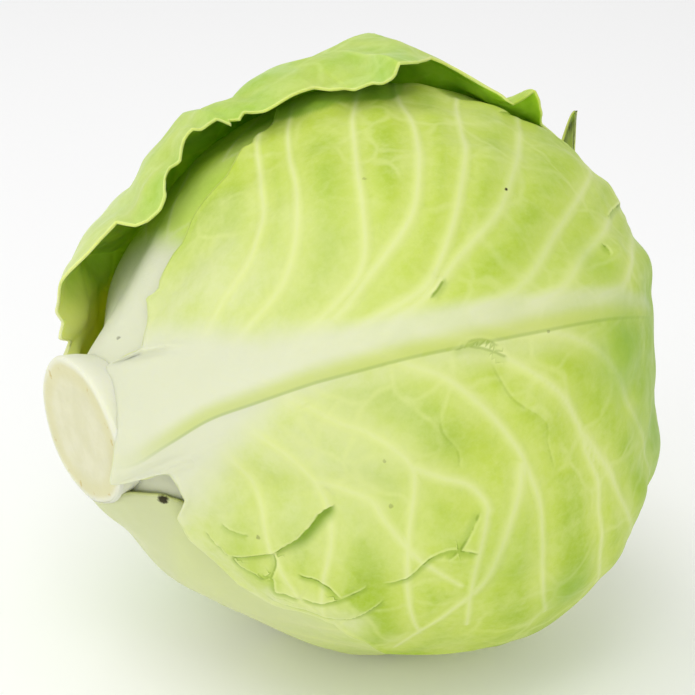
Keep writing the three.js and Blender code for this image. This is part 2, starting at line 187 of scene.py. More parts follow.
# The back leaf's margin where it curls over the top, with how far it stands off the head.
BACK_MARGIN = [
    (84, 343, 6), (72, 341, 10), (57.5, 323, 14), (63, 305, 14), (76, 283, 14), (90, 262, 13),
    (104, 241, 12), (119, 222, 10), (130, 225, 8), (140, 227, 6), (151, 222, 5), (160.5, 210.5, 5),
    (166, 198, 5), (167.5, 182, 6), (171, 168, 6), (180, 162, 6), (182, 150, 7), (185, 143, 8),
    (190, 136.5, 8), (196, 132, 8), (204, 133, 6), (212, 128, 6), (221, 123, 6), (229, 124, 5), (236, 127, 5),
    (240, 121, 5), (245.5, 114, 5), (266, 112, 5), (289, 96.5, 5), (314, 84, 5), (330, 84, 4), (342, 82.5, 4),
    (353, 85, 4), (373, 81, 4), (383, 82.5, 4), (393.5, 76, 6), (399, 61, 10), (419, 57, 9), (432, 54, 8),
    (450, 63, 6), (465, 71, 5),
]
# Torn points of its margin that stand up beyond the head's outline: the bearings where each starts, is
# highest and ends, how high it stands and how far it leans, in millimetres.
BACK_POINTS = [(-63.6, -62.2, -56.0, 7.0, 0.0), (-36.0, -34.6, -33.2, 10.5, 19.0)]
POINT_DEPTH = 9.0  # millimetres into the leaf that rise with a point
POINT_TIP = 0.35  # degrees on each hand of a point's top that stay as high
# Specks, and the small hole, which is painted as a dark spot of shade on the bottom leaf: pixel, size in
# metres, and strength.
FRONT_SPECKS = [
    ((508, 191), 0.0007, 1.0), ((365, 178), 0.0007, 0.3), ((390, 505), 0.0008, 0.3),
    ((261, 534), 0.0009, 0.4), ((385, 462), 0.0006, 0.3), ((545, 330), 0.0006, 0.35),
]
UPPER_SPECKS = [((115, 338), 0.0008, 0.5), ((93, 351), 0.0009, 0.6), ((93, 357), 0.0011, 0.6)]
BOTTOM_HOLE_SHADE = [((161, 500), 0.0018, 1.0)]

# Soft studio light: name, place and width in metres, and power in watts.
LIGHTS = [
    ("Key", (-0.4, -0.55, 1.3), 0.5, 2.9),
    ("Fill", (-0.35, -1.3, 0.35), 0.7, 2.2),
    ("Top", (-0.3, 0.45, 1.3), 0.7, 2.6),
    ("Side", (-1.3, 0.05, 0.5), 0.5, 2.3),
]
WORLD_STRENGTH = 0.76
SKIN_SHINE = 0.22


def unit(v):
    return v / np.linalg.norm(v, axis=-1, keepdims=True)


def smooth(x):
    x = np.clip(x, 0, 1)
    return x * x * (3 - 2 * x)


def mix(a, b, t):
    return a + (b - a) * t


def curve(t, p0, p1, p2, p3):
    """A smooth curve from p1 to p2, led by the points before and after them."""
    return p1 + 0.5 * t * (p2 - p0 + t * (2 * p0 - 5 * p1 + 4 * p2 - p3 + t * (3 * (p1 - p2) + p3 - p0)))


def angle_to(d, towards):
    return np.degrees(np.arccos(np.clip(d @ unit(np.array(towards)), -1, 1)))


def head_radius(d):
    """The outside of the round head, as a distance from its centre."""
    radius = 1 / np.linalg.norm(d / HEAD_SEMI, axis=-1)
    for towards, height, spread in HEAD_BULGES:
        radius = radius + height * np.exp(-(angle_to(d, towards) / spread) ** 2)
    return radius


def heart_radius(d):
    """The surface that the innermost leaf lies on, flattened where the head rests on the floor."""
    depth = mix(WRAP_DEPTH, CROWN_DEPTH, smooth((d[..., 0] - 0.3) / 0.6))
    neck = NECK_RISE * np.exp(-(angle_to(d, STEM_LINE) / NECK_SPREAD) ** 2)
    free = head_radius(d) - depth + neck
    floor = np.where(d[..., 2] < -0.2, (HEAD_CENTRE[2] - FLOOR_STACK) / np.maximum(-d[..., 2], 0.2), 1000.0)
    step = np.abs(free - floor) / FLOOR_BLEND
    return np.minimum(free, floor) - FLOOR_BLEND * np.log1p(np.exp(-np.minimum(step, 50)))


def camera_axes():
    """Where the camera stands, in millimetres, its forward, right and up directions, and its focal length."""
    turn, rise = np.radians([CAMERA_TURN, CAMERA_RISE])
    back = np.array([np.sin(turn) * np.cos(rise), -np.cos(turn) * np.cos(rise), np.sin(rise)])
    right = unit(np.cross(-back, [0, 0, 1.0]))
    up = np.cross(right, -back)
    focal = CAMERA_LENS / CAMERA_SENSOR * PHOTO_SIZE
    distance = CAMERA_DISTANCE / MM
    offset = (np.array(HEAD_PIXEL) - PHOTO_SIZE / 2) / focal * distance
    place = HEAD_CENTRE - right * offset[0] + up * offset[1] + back * distance
    return place, -back, right, up, focal


def on_head(pixels, lift=0.0, radius=head_radius):
    """The directions from the head's centre of what is seen at pixels, a lift off a surface round it."""
    place, forward, right, up, focal = camera_axes()
    x, y = np.asarray(pixels, float).T - PHOTO_SIZE / 2
    ray = unit(forward + np.outer(x / focal, right) - np.outer(y / focal, up))
    towards = np.tile(unit(place - HEAD_CENTRE), (len(ray), 1))
    for _ in range(14):
        wider = (radius(towards) + lift) * np.linalg.norm(towards / HEAD_SEMI, axis=-1)
        scale = HEAD_SEMI * wider[:, None]
        o, q = (place - HEAD_CENTRE) / scale, ray / scale
        a, b, c = (q * q).sum(1), 2 * (o * q).sum(1), (o * o).sum(1) - 1
        t = (-b - np.sqrt(np.maximum(b * b - 4 * a * c, 0))) / (2 * a)
        towards = unit(place - HEAD_CENTRE + ray * t[:, None])
    return towards


def torn(bearing, seed):
    """The uneven teeth of a torn margin, from about -1 to 1."""
    rng = np.random.default_rng(seed)
    teeth = np.zeros_like(bearing)
    for number, share in ((9, 0.3), (17, 0.4), (31, 0.35), (58, 0.22), (97, 0.16), (149, 0.1)):
        phase = rng.uniform(0, 2 * np.pi, 2)
        local = 0.55 + 0.45 * np.sin(np.radians(bearing) * (number % 5 + 2) + phase[1])
        teeth = teeth + share * local * np.sin(np.radians(bearing) * number + phase[0])
    return teeth


class Leaf:
    """One leaf: a thin blade laid over the head, reaching from its middle to its margin."""

    def __init__(self, node, turn, middle, skew, outline, rib, ragged, stand_off=(), seed=1):
        self.node = node
        self.length = middle
        self.rib = rib
        self.seed = seed
        outward = np.array([0, -np.cos(np.radians(turn)), np.sin(np.radians(turn))])
        axis = np.array([1.0, 0, 0])
        cos, sin, skew = np.cos(np.radians(middle)), np.sin(np.radians(middle)), np.radians(skew)
        self.middle = -cos * axis + sin * outward
        straight = sin * axis + cos * outward
        self.along = straight * np.cos(skew) + np.cross(self.middle, straight) * np.sin(skew)
        self.side = np.cross(self.middle, self.along)
        self.bearings = np.arange(-180, 180, 0.25)
        self.smooth_reach = self.outline_reach(outline)
        self.reaches = self.smooth_reach + ragged * torn(self.bearings, seed)
        self.limit = self.reach_to_stem()
        at, roll, margin = np.array(stand_off or [(0, 0, 0)], float).T
        self.roll = np.interp(self.bearings, at, roll, left=0, right=0)
        self.margin_lift = np.interp(self.bearings, at, margin, left=0, right=0)

    def outline_reach(self, outline):
        at = np.array([p[0] for p in outline], float)
        far = np.array([p[1] for p in outline], float)
        at = np.concatenate([at[-2:] - 360, at, at[:3] + 360])
        far = np.concatenate([far[-2:], far, far[:3]])
        k = np.clip(np.searchsorted(at, self.bearings, side="right") - 1, 1, len(at) - 3)
        t = (self.bearings - at[k]) / (at[k + 1] - at[k])
        return curve(t, far[k - 1], far[k], far[k + 1], far[k + 2])

    def reach_to_stem(self):
        to_stem = np.arccos(self.middle @ STEM_LINE)
        stem_bearing = np.arctan2(STEM_LINE @ self.side, STEM_LINE @ self.along)
        cos_off = np.cos(np.radians(self.bearings) - stem_bearing)
        a, b = np.cos(to_stem), np.sin(to_stem) * cos_off
        share = np.cos(np.radians(BASE_ANGLE)) / np.hypot(a, b)
        far = np.degrees(np.arctan2(b, a) - np.arccos(np.minimum(share, 1)))
        return np.where((cos_off < 0) | (share > 1), 1000, far)

    def follow(self, directions, fade_before, fade_after, lifts=None):
        """The margin runs through these directions, where given at these lifts off the head, and comes back
        to its own line beyond them."""
        far, bearing = self.seen(directions)[:2]
        order = np.argsort(bearing, kind="stable")
        bearing, far = bearing[order], far[order]
        centre = (bearing[0] + bearing[-1]) / 2
        at = centre + (self.bearings - centre + 180) % 360 - 180
        change = np.interp(at, bearing, far) - np.minimum(self.reaches, self.limit)
        outside = np.maximum((bearing[0] - at) / fade_before, (at - bearing[-1]) / fade_after)
        self.reaches = np.minimum(self.reaches, self.limit) + change * smooth(1 - outside)
        if lifts is not None:
            followed = np.interp(at, bearing, lifts[order])
            self.margin_lift = mix(self.margin_lift, followed, smooth(1 - outside))

    def reach(self, bearing):
        far = np.minimum(self.reaches, self.limit)
        return np.interp(bearing, self.bearings, far, period=360)

    def even_reach(self, bearing):
        far = np.minimum(self.smooth_reach, self.limit)
        return np.interp(bearing, self.bearings, far, period=360)

    def seen(self, d):
        """Distance from the middle, bearing, and the angles along and across the midrib."""
        x, y, z = d @ self.along, d @ self.side, d @ self.middle
        far = np.degrees(np.arccos(np.clip(z, -1, 1)))
        lengthways = np.degrees(np.arctan2(x, z))
        return far, np.degrees(np.arctan2(y, x)), lengthways, np.degrees(np.arcsin(np.clip(y, -1, 1)))

    def flat(self, d):
        """A place on the leaf laid flat: millimetres towards the tip and across."""
        far, bearing = self.seen(d)[:2]
        out = np.radians(far) * HEAD_SEMI[1]
        return np.stack([out * np.cos(np.radians(bearing)), out * np.sin(np.radians(bearing))], -1)

    def to_tip(self, lengthways):
        return np.clip((lengthways + self.length) / (self.length + self.even_reach(0.0)), 0, 1)

    def rib_height(self, d):
        _, _, lengthways, across = self.seen(d)
        t = self.to_tip(lengthways)
        height = mix(self.rib[0], self.rib[1], t ** 0.6)
        width = mix(self.rib[2], self.rib[3], t ** 0.5)
        off = np.radians(across) * HEAD_SEMI[1] / (RIB_SKIRT * width)
        shape = np.clip(1 - off * off, 0, 1) ** 2
        return np.where(np.abs(lengthways) > 120, 0, height * shape)

    def lift(self, bearing, share):
        roll = np.interp(bearing, self.bearings, self.roll, period=360)
        margin = np.interp(bearing, self.bearings, self.margin_lift, period=360)
        rising = smooth((share - ROLL_START) / (ROLL_SHARE - ROLL_START)) * roll
        return mix(rising, margin, smooth((share - ROLL_SHARE) / (1 - ROLL_SHARE)))


def stack_height(d, leaves, blade):
    height = np.zeros(d.shape[:-1])
    for leaf in leaves:
        far, bearing = leaf.seen(d)[:2]
        cover = smooth((leaf.even_reach(bearing) + COVER_REST + COVER_FADE - far) / COVER_FADE)
        height = height + cover * (blade + LEAF_GAP + leaf.rib_height(d))
    return height


def support_radius(d, leaves, blade):
    """What a leaf lies on: the heart and the leaves under it, at their highest close by."""
    across = unit(np.cross([0, 0, 1.0], d))
    upwards = np.cross(d, across)
    highest = stack_height(d, leaves, blade)
    for turn in np.radians(np.arange(0, 360, 45)):
        step = np.radians(SUPPORT_SPREAD) * (np.cos(turn) * across + np.sin(turn) * upwards)
        highest = np.maximum(highest, stack_height(unit(d + step), leaves, blade))
    return heart_radius(d) + highest


def leaf_radius(leaf):
    """A function that gives the outer face of a leaf as a distance from the head's centre."""
    def radius(d):
        return support_radius(d, leaves_under(leaf), LEAF_BLADE) + LEAF_GAP + LEAF_BLADE + leaf.rib_height(d)

    return radius


def soften(field, cells, times):
    """Averages a value over a grid piece's neighbouring points."""
    f = field.reshape(cells + 1, cells + 1)
    for _ in range(times):
        p = np.pad(f, 1, mode="edge")
        f = (4 * f + p[:-2, 1:-1] + p[2:, 1:-1] + p[1:-1, :-2] + p[1:-1, 2:]) / 8
    return f.ravel()


def resample(line, spacing=2.0):
    """A smooth line through points, as closely spaced points."""
    line = np.asarray(line, float)
    at = np.concatenate([[0], np.cumsum(np.linalg.norm(np.diff(line, axis=0), axis=1))])
    ends = np.concatenate([[2 * line[0] - line[1]], line, [2 * line[-1] - line[-2]]])
    even = np.linspace(0, at[-1], max(3, int(at[-1] / spacing)))
    k = np.clip(np.searchsorted(at, even, side="right") - 1, 0, len(line) - 2)
    t = ((even - at[k]) / (at[k + 1] - at[k]))[:, None]
    return curve(t, ends[k], ends[k + 1], ends[k + 2], ends[k + 3])


def line_field(places, lines):
    """Distance to the nearest of several lines, the same with the side's sign, and how far along that line
    the nearest point is, from 0 to 1."""
    near = np.full(len(places), 1e6)
    side, along = np.zeros(len(places)), np.zeros(len(places))
    rows = np.arange(len(places))
    for line in lines:
        seg = line[1:] - line[:-1]
        length = (seg * seg).sum(1)
        rel = places[:, None, :] - line[None, :-1]
        t = np.clip((rel * seg).sum(2) / length, 0, 1)
        gap = rel - t[..., None] * seg
        dist = np.sqrt((gap * gap).sum(2))
        k = dist.argmin(1)
        best = dist[rows, k]
        sign = np.sign(seg[k, 0] * rel[rows, k, 1] - seg[k, 1] * rel[rows, k, 0])
        closer = best < near
        near = np.where(closer, best, near)
        side = np.where(closer, sign * best, side)
        along = np.where(closer, (k + t[rows, k]) / len(seg), along)
    return near, side, along


def grown_veins(leaf, pairs, seed):
    """Side veins of a leaf laid flat: pairs that leave the midrib and sweep forward, and their branches."""
    rng = np.random.default_rng(seed)
    foot, tip = -leaf.length * np.radians(HEAD_SEMI[1]), leaf.even_reach(0.0) * np.radians(HEAD_SEMI[1])
    lines = []
    for k in range(pairs):
        start = mix(foot + 18, tip - 8, (k + 0.5) / pairs)
        for hand in (-1, 1):
            point = np.array([start + rng.uniform(-4, 4), 0.0])
            heading = np.radians(38 + rng.uniform(-6, 6))
            line = [point]
            for _ in range(11):
                point = point + 10 * np.array([np.cos(heading), hand * np.sin(heading)])
                heading += np.radians(rng.uniform(-1, 9))
                line.append(point)
            lines.append(np.array(line))
            fork = int(rng.integers(4, 7))
            point, heading = line[fork], heading - np.radians(62)
            twig = [point]
            for _ in range(5):
                point = point + 9 * np.array([np.cos(heading), hand * np.sin(heading)])
                heading += np.radians(rng.uniform(2, 12))
                twig.append(point)
            lines.append(np.array(twig))
    return [resample(line) for line in lines]


def write_attributes(piece, **fields):
    """Keeps values of each point in a piece's mesh, for its material to read."""
    for name, values in fields.items():
        attribute = piece.data.attributes.new(name, "FLOAT", "POINT")
        attribute.data.foreach_set("value", np.asarray(values, np.float32))


def read_points(piece):
    points = np.empty(3 * len(piece.data.vertices), np.float32)
    piece.data.vertices.foreach_get("co", points)
    return points.reshape(-1, 3).astype(float)


def select_only(piece):
    bpy.ops.object.select_all(action="DESELECT")
    piece.select_set(True)
    bpy.context.view_layer.objects.active = piece


def new_grid(name, cells):
    """A flat square grid to shape, and its points from -1 to 1."""
    bpy.ops.object.select_all(action="DESELECT")
    bpy.ops.mesh.primitive_grid_add(x_subdivisions=cells, y_subdivisions=cells, size=2)
    piece = bpy.context.object
    piece.name = piece.data.name = name
    return piece, read_points(piece)


def place_points(piece, points):
    """Puts millimetres from the head's centre into a piece's mesh, in metres."""
    placed = (points + HEAD_CENTRE) * MM
    piece.data.vertices.foreach_set("co", placed.astype(np.float32).ravel())
    piece.data.update()


def on_disc(points):
    """A square grid spread over a disc: share of the way to the margin, and bearing."""
    x, y = points[:, 0], points[:, 1]
    px, py = x * np.sqrt(1 - y * y / 2), y * np.sqrt(1 - x * x / 2)
    return np.minimum(np.hypot(px, py), 1), np.degrees(np.arctan2(py, px))


def finish_leaf(piece, leaf, outer, inner, thickness, thinness):
    """Gives a blade its thickness and its two faces' materials, hangs it on the root and hides the solid it
    stands in for.
    """
    group = piece.vertex_groups.new(name="thickness")
    for value in np.unique(np.round(thinness, 2)):
        indices = np.nonzero(np.round(thinness, 2) == value)[0]
        group.add(indices.tolist(), float(value), "REPLACE")
    piece.data.materials.append(outer)
    piece.data.materials.append(inner)
    select_only(piece)
    bpy.ops.object.shade_smooth()
    solid = piece.modifiers.new("Thickness", "SOLIDIFY")
    solid.thickness = thickness * MM
    solid.offset = -1
    solid.vertex_group = group.name
    solid.thickness_vertex_group = 0.0
    solid.material_offset = 1
    solid.material_offset_rim = 0
    bpy.ops.object.modifier_apply(modifier=solid.name)
    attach(piece, "root")
    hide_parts(leaf.node)


# Each leaf, from the heart outwards. turn is about the head, and middle is the angle from the stem to the
# leaf's middle. rib holds the midrib's height at foot and tip and its width at both, and outline the reach
# at each bearing. stand_off says how far the leaf stands off, part of the way out and at its margin.
LEAF_SHAPES = {
    "leaf_back_lower": dict(
        turn=-157.5, middle=84, skew=0, rib=(2.2, 0.8, 14, 4), ragged=1.0, seed=3, outline=INNER_OUTLINE,
    ),
    "leaf_front_inner": dict(
        turn=-20, middle=84, skew=0, rib=(1.8, 0.8, 14, 4), ragged=1.0, seed=4, outline=INNER_OUTLINE,
    ),
    "leaf_upper": dict(
        turn=104, middle=84, skew=0, rib=(3.2, 1.0, 16, 4), ragged=1.0, seed=5,
        outline=[(-150, 80), (-120, 80), (-90, 78), (-60, 78), (-30, 78), (0, 80), (30, 78), (60, 76),
                 (90, 78), (120, 80), (150, 80), (180, 80)],
    ),
    "leaf_bottom": dict(
        turn=-97, middle=84, skew=0, rib=(3.0, 1.0, 16, 4), ragged=1.0, seed=6,
        outline=[(-150, 80), (-120, 80), (-90, 78), (-60, 80), (-30, 84), (0, 86), (30, 84), (60, 80),
                 (90, 78), (120, 80), (150, 80), (180, 80)],
    ),
    "leaf_front": dict(
        turn=33, middle=82, skew=5, rib=(5.0, 1.6, 18, 4), ragged=0.9, seed=7,
        outline=[(-172, 80), (-162, 76), (-148, 69), (-126, 65), (-108, 71), (-85, 87), (-60, 94),
                 (-30, 97), (0, 98), (30, 97), (60, 90), (90, 78), (112, 66), (132, 66), (150, 72),
                 (165, 81), (180, 80)],
        stand_off=[(-165, 0, 0), (-140, 1, 2.5), (-115, 0, 0)],
    ),
    "leaf_back": dict(
        turn=170, middle=85, skew=0, rib=(4.0, 1.4, 17, 4), ragged=1.2, seed=8,
        outline=[(-178, 71), (-170, 68), (-164, 61), (-158, 65.5), (-148, 68), (-139, 72), (-131, 67),
                 (-124, 64.5), (-117, 71), (-109, 74.5), (-100, 75), (-94, 81), (-88, 84.5), (-81, 81),
                 (-73, 76), (-67, 86), (-60, 92), (-50, 90), (-20, 88), (20, 86), (50, 79), (80, 72),
                 (110, 72), (145, 74), (170, 72)],
        stand_off=[(-177, 0, 0), (-169, 5, 6), (-163, 12, 13), (-158, 12, 13), (-150, 10.5, 10), (-145, 9, 7),
                   (-139, 7, 4), (-132, 8.5, 5), (-124, 9, 7), (-118, 9, 4.5), (-110, 4.5, 4), (-100, 6, 3.5),
                   (-92, 6.5, 3.5), (-85, 8, 7), (-78, 11, 8), (-73, 9, 6), (-68, 4.5, 4), (-66, 3, 2.6),
                   (-64, 0.5, 0.3), (-62.5, 0, 0)],
    ),
}
LEAVES = [Leaf(node, **shape) for node, shape in LEAF_SHAPES.items()]
BY_NODE = {leaf.node: leaf for leaf in LEAVES}


def leaves_under(leaf):
    return LEAVES[:LEAVES.index(leaf)]


def base_fan(along, off):
    """The white foot of a leaf: wide by the stem, narrowing into the midrib."""
    half = np.interp(along, [0, 20, 45, 70, 120, 180], [34, 24, 9, 4.6, 3.2, 1.8])
    soft = np.interp(along, [0, 45, 70, 120, 180], [10, 7, 3, 2, 1.4])
    strong = np.interp(along, [0, 40, 70, 110, 150, 190], [1, 0.95, 0.8, 0.6, 0.44, 0.32])
    return smooth((half + soft - off) / (2 * soft)) * strong


class Blade:
    """A leaf's outer face on a fine grid: where it is, and what its skin shows there.

    For each point, in millimetres: margin is the way to the margin, over and off the way across the midrib,
    along the way from the foot, near and side the way to the nearest side vein, and edge the way to the
    midrib's lower flank. Strength, pale, veil and the flank's shade are shares from 0 to 1: of a vein's
    boldness, of the white foot, of the whitish haze and of the painted shade on the midrib's lower flank."""

    def __init__(self, leaf, cells, sizes, veins, midrib=None):
        self.leaf = leaf
        self.piece, square = new_grid(leaf.node + "_blade", cells)
        share, self.bearing = on_disc(square)
        even = leaf.even_reach(self.bearing)
        band = smooth((share - 1 + MARGIN_BAND) / MARGIN_BAND)
        reach = share * even + band * (leaf.reach(self.bearing) - even)
        far, bearing = np.radians(reach)[:, None], np.radians(self.bearing)[:, None]
        outwards = np.cos(bearing) * leaf.along + np.sin(bearing) * leaf.side
        self.d = np.cos(far) * leaf.middle + np.sin(far) * outwards
        self.flat = leaf.flat(self.d)
        self.margin = np.radians(leaf.reach(self.bearing) - reach) * HEAD_SEMI[1]
        self.over = self.flat[:, 1] if midrib is None else line_field(self.flat, [resample(midrib)])[1]
        self.off = np.abs(self.over)
        self.along = self.flat[:, 0] + np.radians(leaf.length - BASE_ANGLE) * HEAD_SEMI[1]
        self.near, self.side, vein_along = line_field(self.flat, veins)
        self.strength = 1 - 0.7 * vein_along
        self.pale = base_fan(self.along, self.off)
        self.veil = 0.8 * smooth((95 - self.along) / 55) * smooth((75 - self.off) / 50)
        self.flank = np.zeros(len(self.off))
        self.edge = np.full(len(self.off), 30.0)
        self.shift = np.zeros((len(self.off), 3))
        blade, edge = sizes.blade / MM, sizes.blade_edge / MM
        under = soften(support_radius(self.d, leaves_under(leaf), blade), cells, 12)
        out = np.clip(reach / even, 0, 1.2)
        self.thick = mix(blade, edge, np.clip(out, 0, 1) ** 6)
        self.height = under + LEAF_GAP + self.thick + leaf.lift(self.bearing, out)
        self.height = self.height + leaf.rib_height(self.d)

    def raise_veins(self, height, width, puff):
        """Veins stand out of the blade and the blade swells between them."""
        quiet = 1 - smooth(self.pale * 1.3)
        ridge = height * self.strength * np.exp(-(self.near / width) ** 2)
        swell = puff * smooth(self.near / 9) * smooth(self.margin / 12)
        self.height = self.height + (ridge + swell) * quiet

    def wrinkle(self, height, size, seed):
        """Low uneven swells of a leaf that has grown, from a few crossing waves."""
        rng = np.random.default_rng(seed)
        total = np.zeros(len(self.d))
        for _ in range(14):
            wave = rng.normal(0, 2 * np.pi / size, 3)
            total += np.sin(self.d @ (wave * HEAD_SEMI[1]) + rng.uniform(0, 2 * np.pi))
        self.height = self.height + height * total / 4

    def write(self, slot, outer, inner):
        """Puts the face into its mesh, with its skin's values, and finishes the leaf."""
        points = self.d * self.height[:, None] + self.shift
        if self.leaf.node == "leaf_bottom":
            z = points[:, 2] + HEAD_CENTRE[2]
            flat = np.hypot(points[:, 0], points[:, 1])
            z = np.where(flat < REST_RADIUS, 0, np.maximum(z, 0))
            points[:, 2] = z - HEAD_CENTRE[2]
        place_points(self.piece, points)
        write_attributes(
            self.piece, near=np.clip(self.near, 0, 15), side=np.clip(self.side, -3, 3),
            strength=self.strength, pale=self.pale, veil=self.veil, flank=self.flank,
            edge=np.clip(self.edge, -12, 12), margin=np.clip(self.margin, 0, 30),
        )
        thinness = self.thick / self.thick.max()
        finish_leaf(self.piece, self.leaf, outer, inner, self.thick.max(), thinness)


def srgb(red, green, blue):
    """A colour as read on a screen, 0 to 255, as the linear colour that materials use."""
    c = np.array([red, green, blue]) / 255
    return tuple(np.where(c <= 0.04045, c / 12.92, ((c + 0.055) / 1.055) ** 2.4).tolist())


class Tree:
    """A shader tree, with short ways to add to it."""

    def __init__(self, tree):
        self.tree = tree

    def feed(self, socket, value):
        if isinstance(value, bpy.types.NodeSocket):
            self.tree.links.new(value, socket)
        elif socket.type == "RGBA" and len(value) == 3:
            socket.default_value = (*value, 1.0)
        else:
            socket.default_value = value

    def add(self, kind, inputs=(), **settings):
        node = self.tree.nodes.new(kind)
        for name, value in settings.items():
            setattr(node, name, value)
        for name, value in dict(inputs).items():
            self.feed(node.inputs[name], value)
        return node

    def math(self, operation, a, b=0.0):
        return self.add("ShaderNodeMath", {0: a, 1: b}, operation=operation).outputs[0]

    def times(self, a, b):
        return self.math("MULTIPLY", a, b)

    def plus(self, a, b):
        return self.math("ADD", a, b)

    def ramp(self, value, low, high, to_low=0.0, to_high=1.0):
        return self.add(
            "ShaderNodeMapRange", {"Value": value, 1: low, 2: high, 3: to_low, 4: to_high},
            interpolation_type="SMOOTHSTEP",
        ).outputs[0]

    def mix(self, share, a, b):
        node = self.add("ShaderNodeMix", data_type="RGBA")
        self.feed(node.inputs[0], share)
        self.feed(node.inputs[6], a)
        self.feed(node.inputs[7], b)
        return node.outputs[2]

    def attribute(self, name):
        return self.add("ShaderNodeAttribute", attribute_name=name).outputs["Fac"]

    def place(self):
        return self.add("ShaderNodeTexCoord").outputs["Object"]

    def noise(self, place, scale, detail=3.0, roughness=0.55, distortion=0.0):
        inputs = {"Vector": place, "Scale": scale, "Detail": detail, "Roughness": roughness}
        inputs["Distortion"] = distortion
        return self.add("ShaderNodeTexNoise", inputs).outputs["Fac"]

    def vector(self, operation, a, b):
        return self.add("ShaderNodeVectorMath", {0: a, 1: b}, operation=operation)


def new_group(name, inputs, outputs):
    """A shader node group with inputs of (kind, name, value) and outputs of (kind, name)."""
    tree = bpy.data.node_groups.new(name, "ShaderNodeTree")
    for kind, label, value in inputs:
        socket = tree.interface.new_socket(label, in_out="INPUT", socket_type=kind)
        socket.default_value = (*value, 1.0) if kind == "NodeSocketColor" else value
    for kind, label in outputs:
        tree.interface.new_socket(label, in_out="OUTPUT", socket_type=kind)
    t = Tree(tree)
    return t, t.add("NodeGroupInput").outputs, t.add("NodeGroupOutput").inputs


def vein_network_group():
    """The fine net of veins between the side veins, as a mask of its threads."""
    t, given, gives = new_group(
        "Vein network",
        [("NodeSocketFloat", "Scale", 90.0), ("NodeSocketFloat", "Width", 0.05)],
        [("NodeSocketFloat", "Threads"), ("NodeSocketFloat", "Cells")],
    )
    place = t.place()
    wobble = t.add("ShaderNodeTexNoise", {"Vector": place, "Scale": 55.0, "Detail": 2.0})
    shift = t.vector("SUBTRACT", wobble.outputs["Color"], (0.5, 0.5, 0.5))
    bent = t.add("ShaderNodeVectorMath", {0: shift.outputs[0]}, operation="SCALE")
    bent.inputs["Scale"].default_value = 0.012
    moved = t.vector("ADD", place, bent.outputs[0]).outputs[0]
    inputs = {"Vector": moved, "Scale": given["Scale"]}
    edge = t.add("ShaderNodeTexVoronoi", inputs, feature="DISTANCE_TO_EDGE").outputs["Distance"]
    t.feed(gives["Threads"], t.ramp(edge, given["Width"], 0.0))
    t.feed(gives["Cells"], t.ramp(edge, 0.0, 0.35))
    return t.tree


def speck_group():
    """A small dark speck at one place on the skin; for the small hole, a dark spot of painted shade."""
    t, given, gives = new_group(
        "Speck",
        [("NodeSocketVector", "Centre", (0, 0, 0)), ("NodeSocketFloat", "Size", 0.001)],
        [("NodeSocketFloat", "Mask")],
    )
    place = t.place()
    blur = t.times(t.math("SUBTRACT", t.noise(place, 900.0, 2.0), 0.5), 0.0016)
    away = t.vector("DISTANCE", place, given["Centre"]).outputs["Value"]
    inner = t.times(given["Size"], 0.45)
    t.feed(gives["Mask"], t.ramp(t.plus(away, blur), given["Size"], inner))
    return t.tree


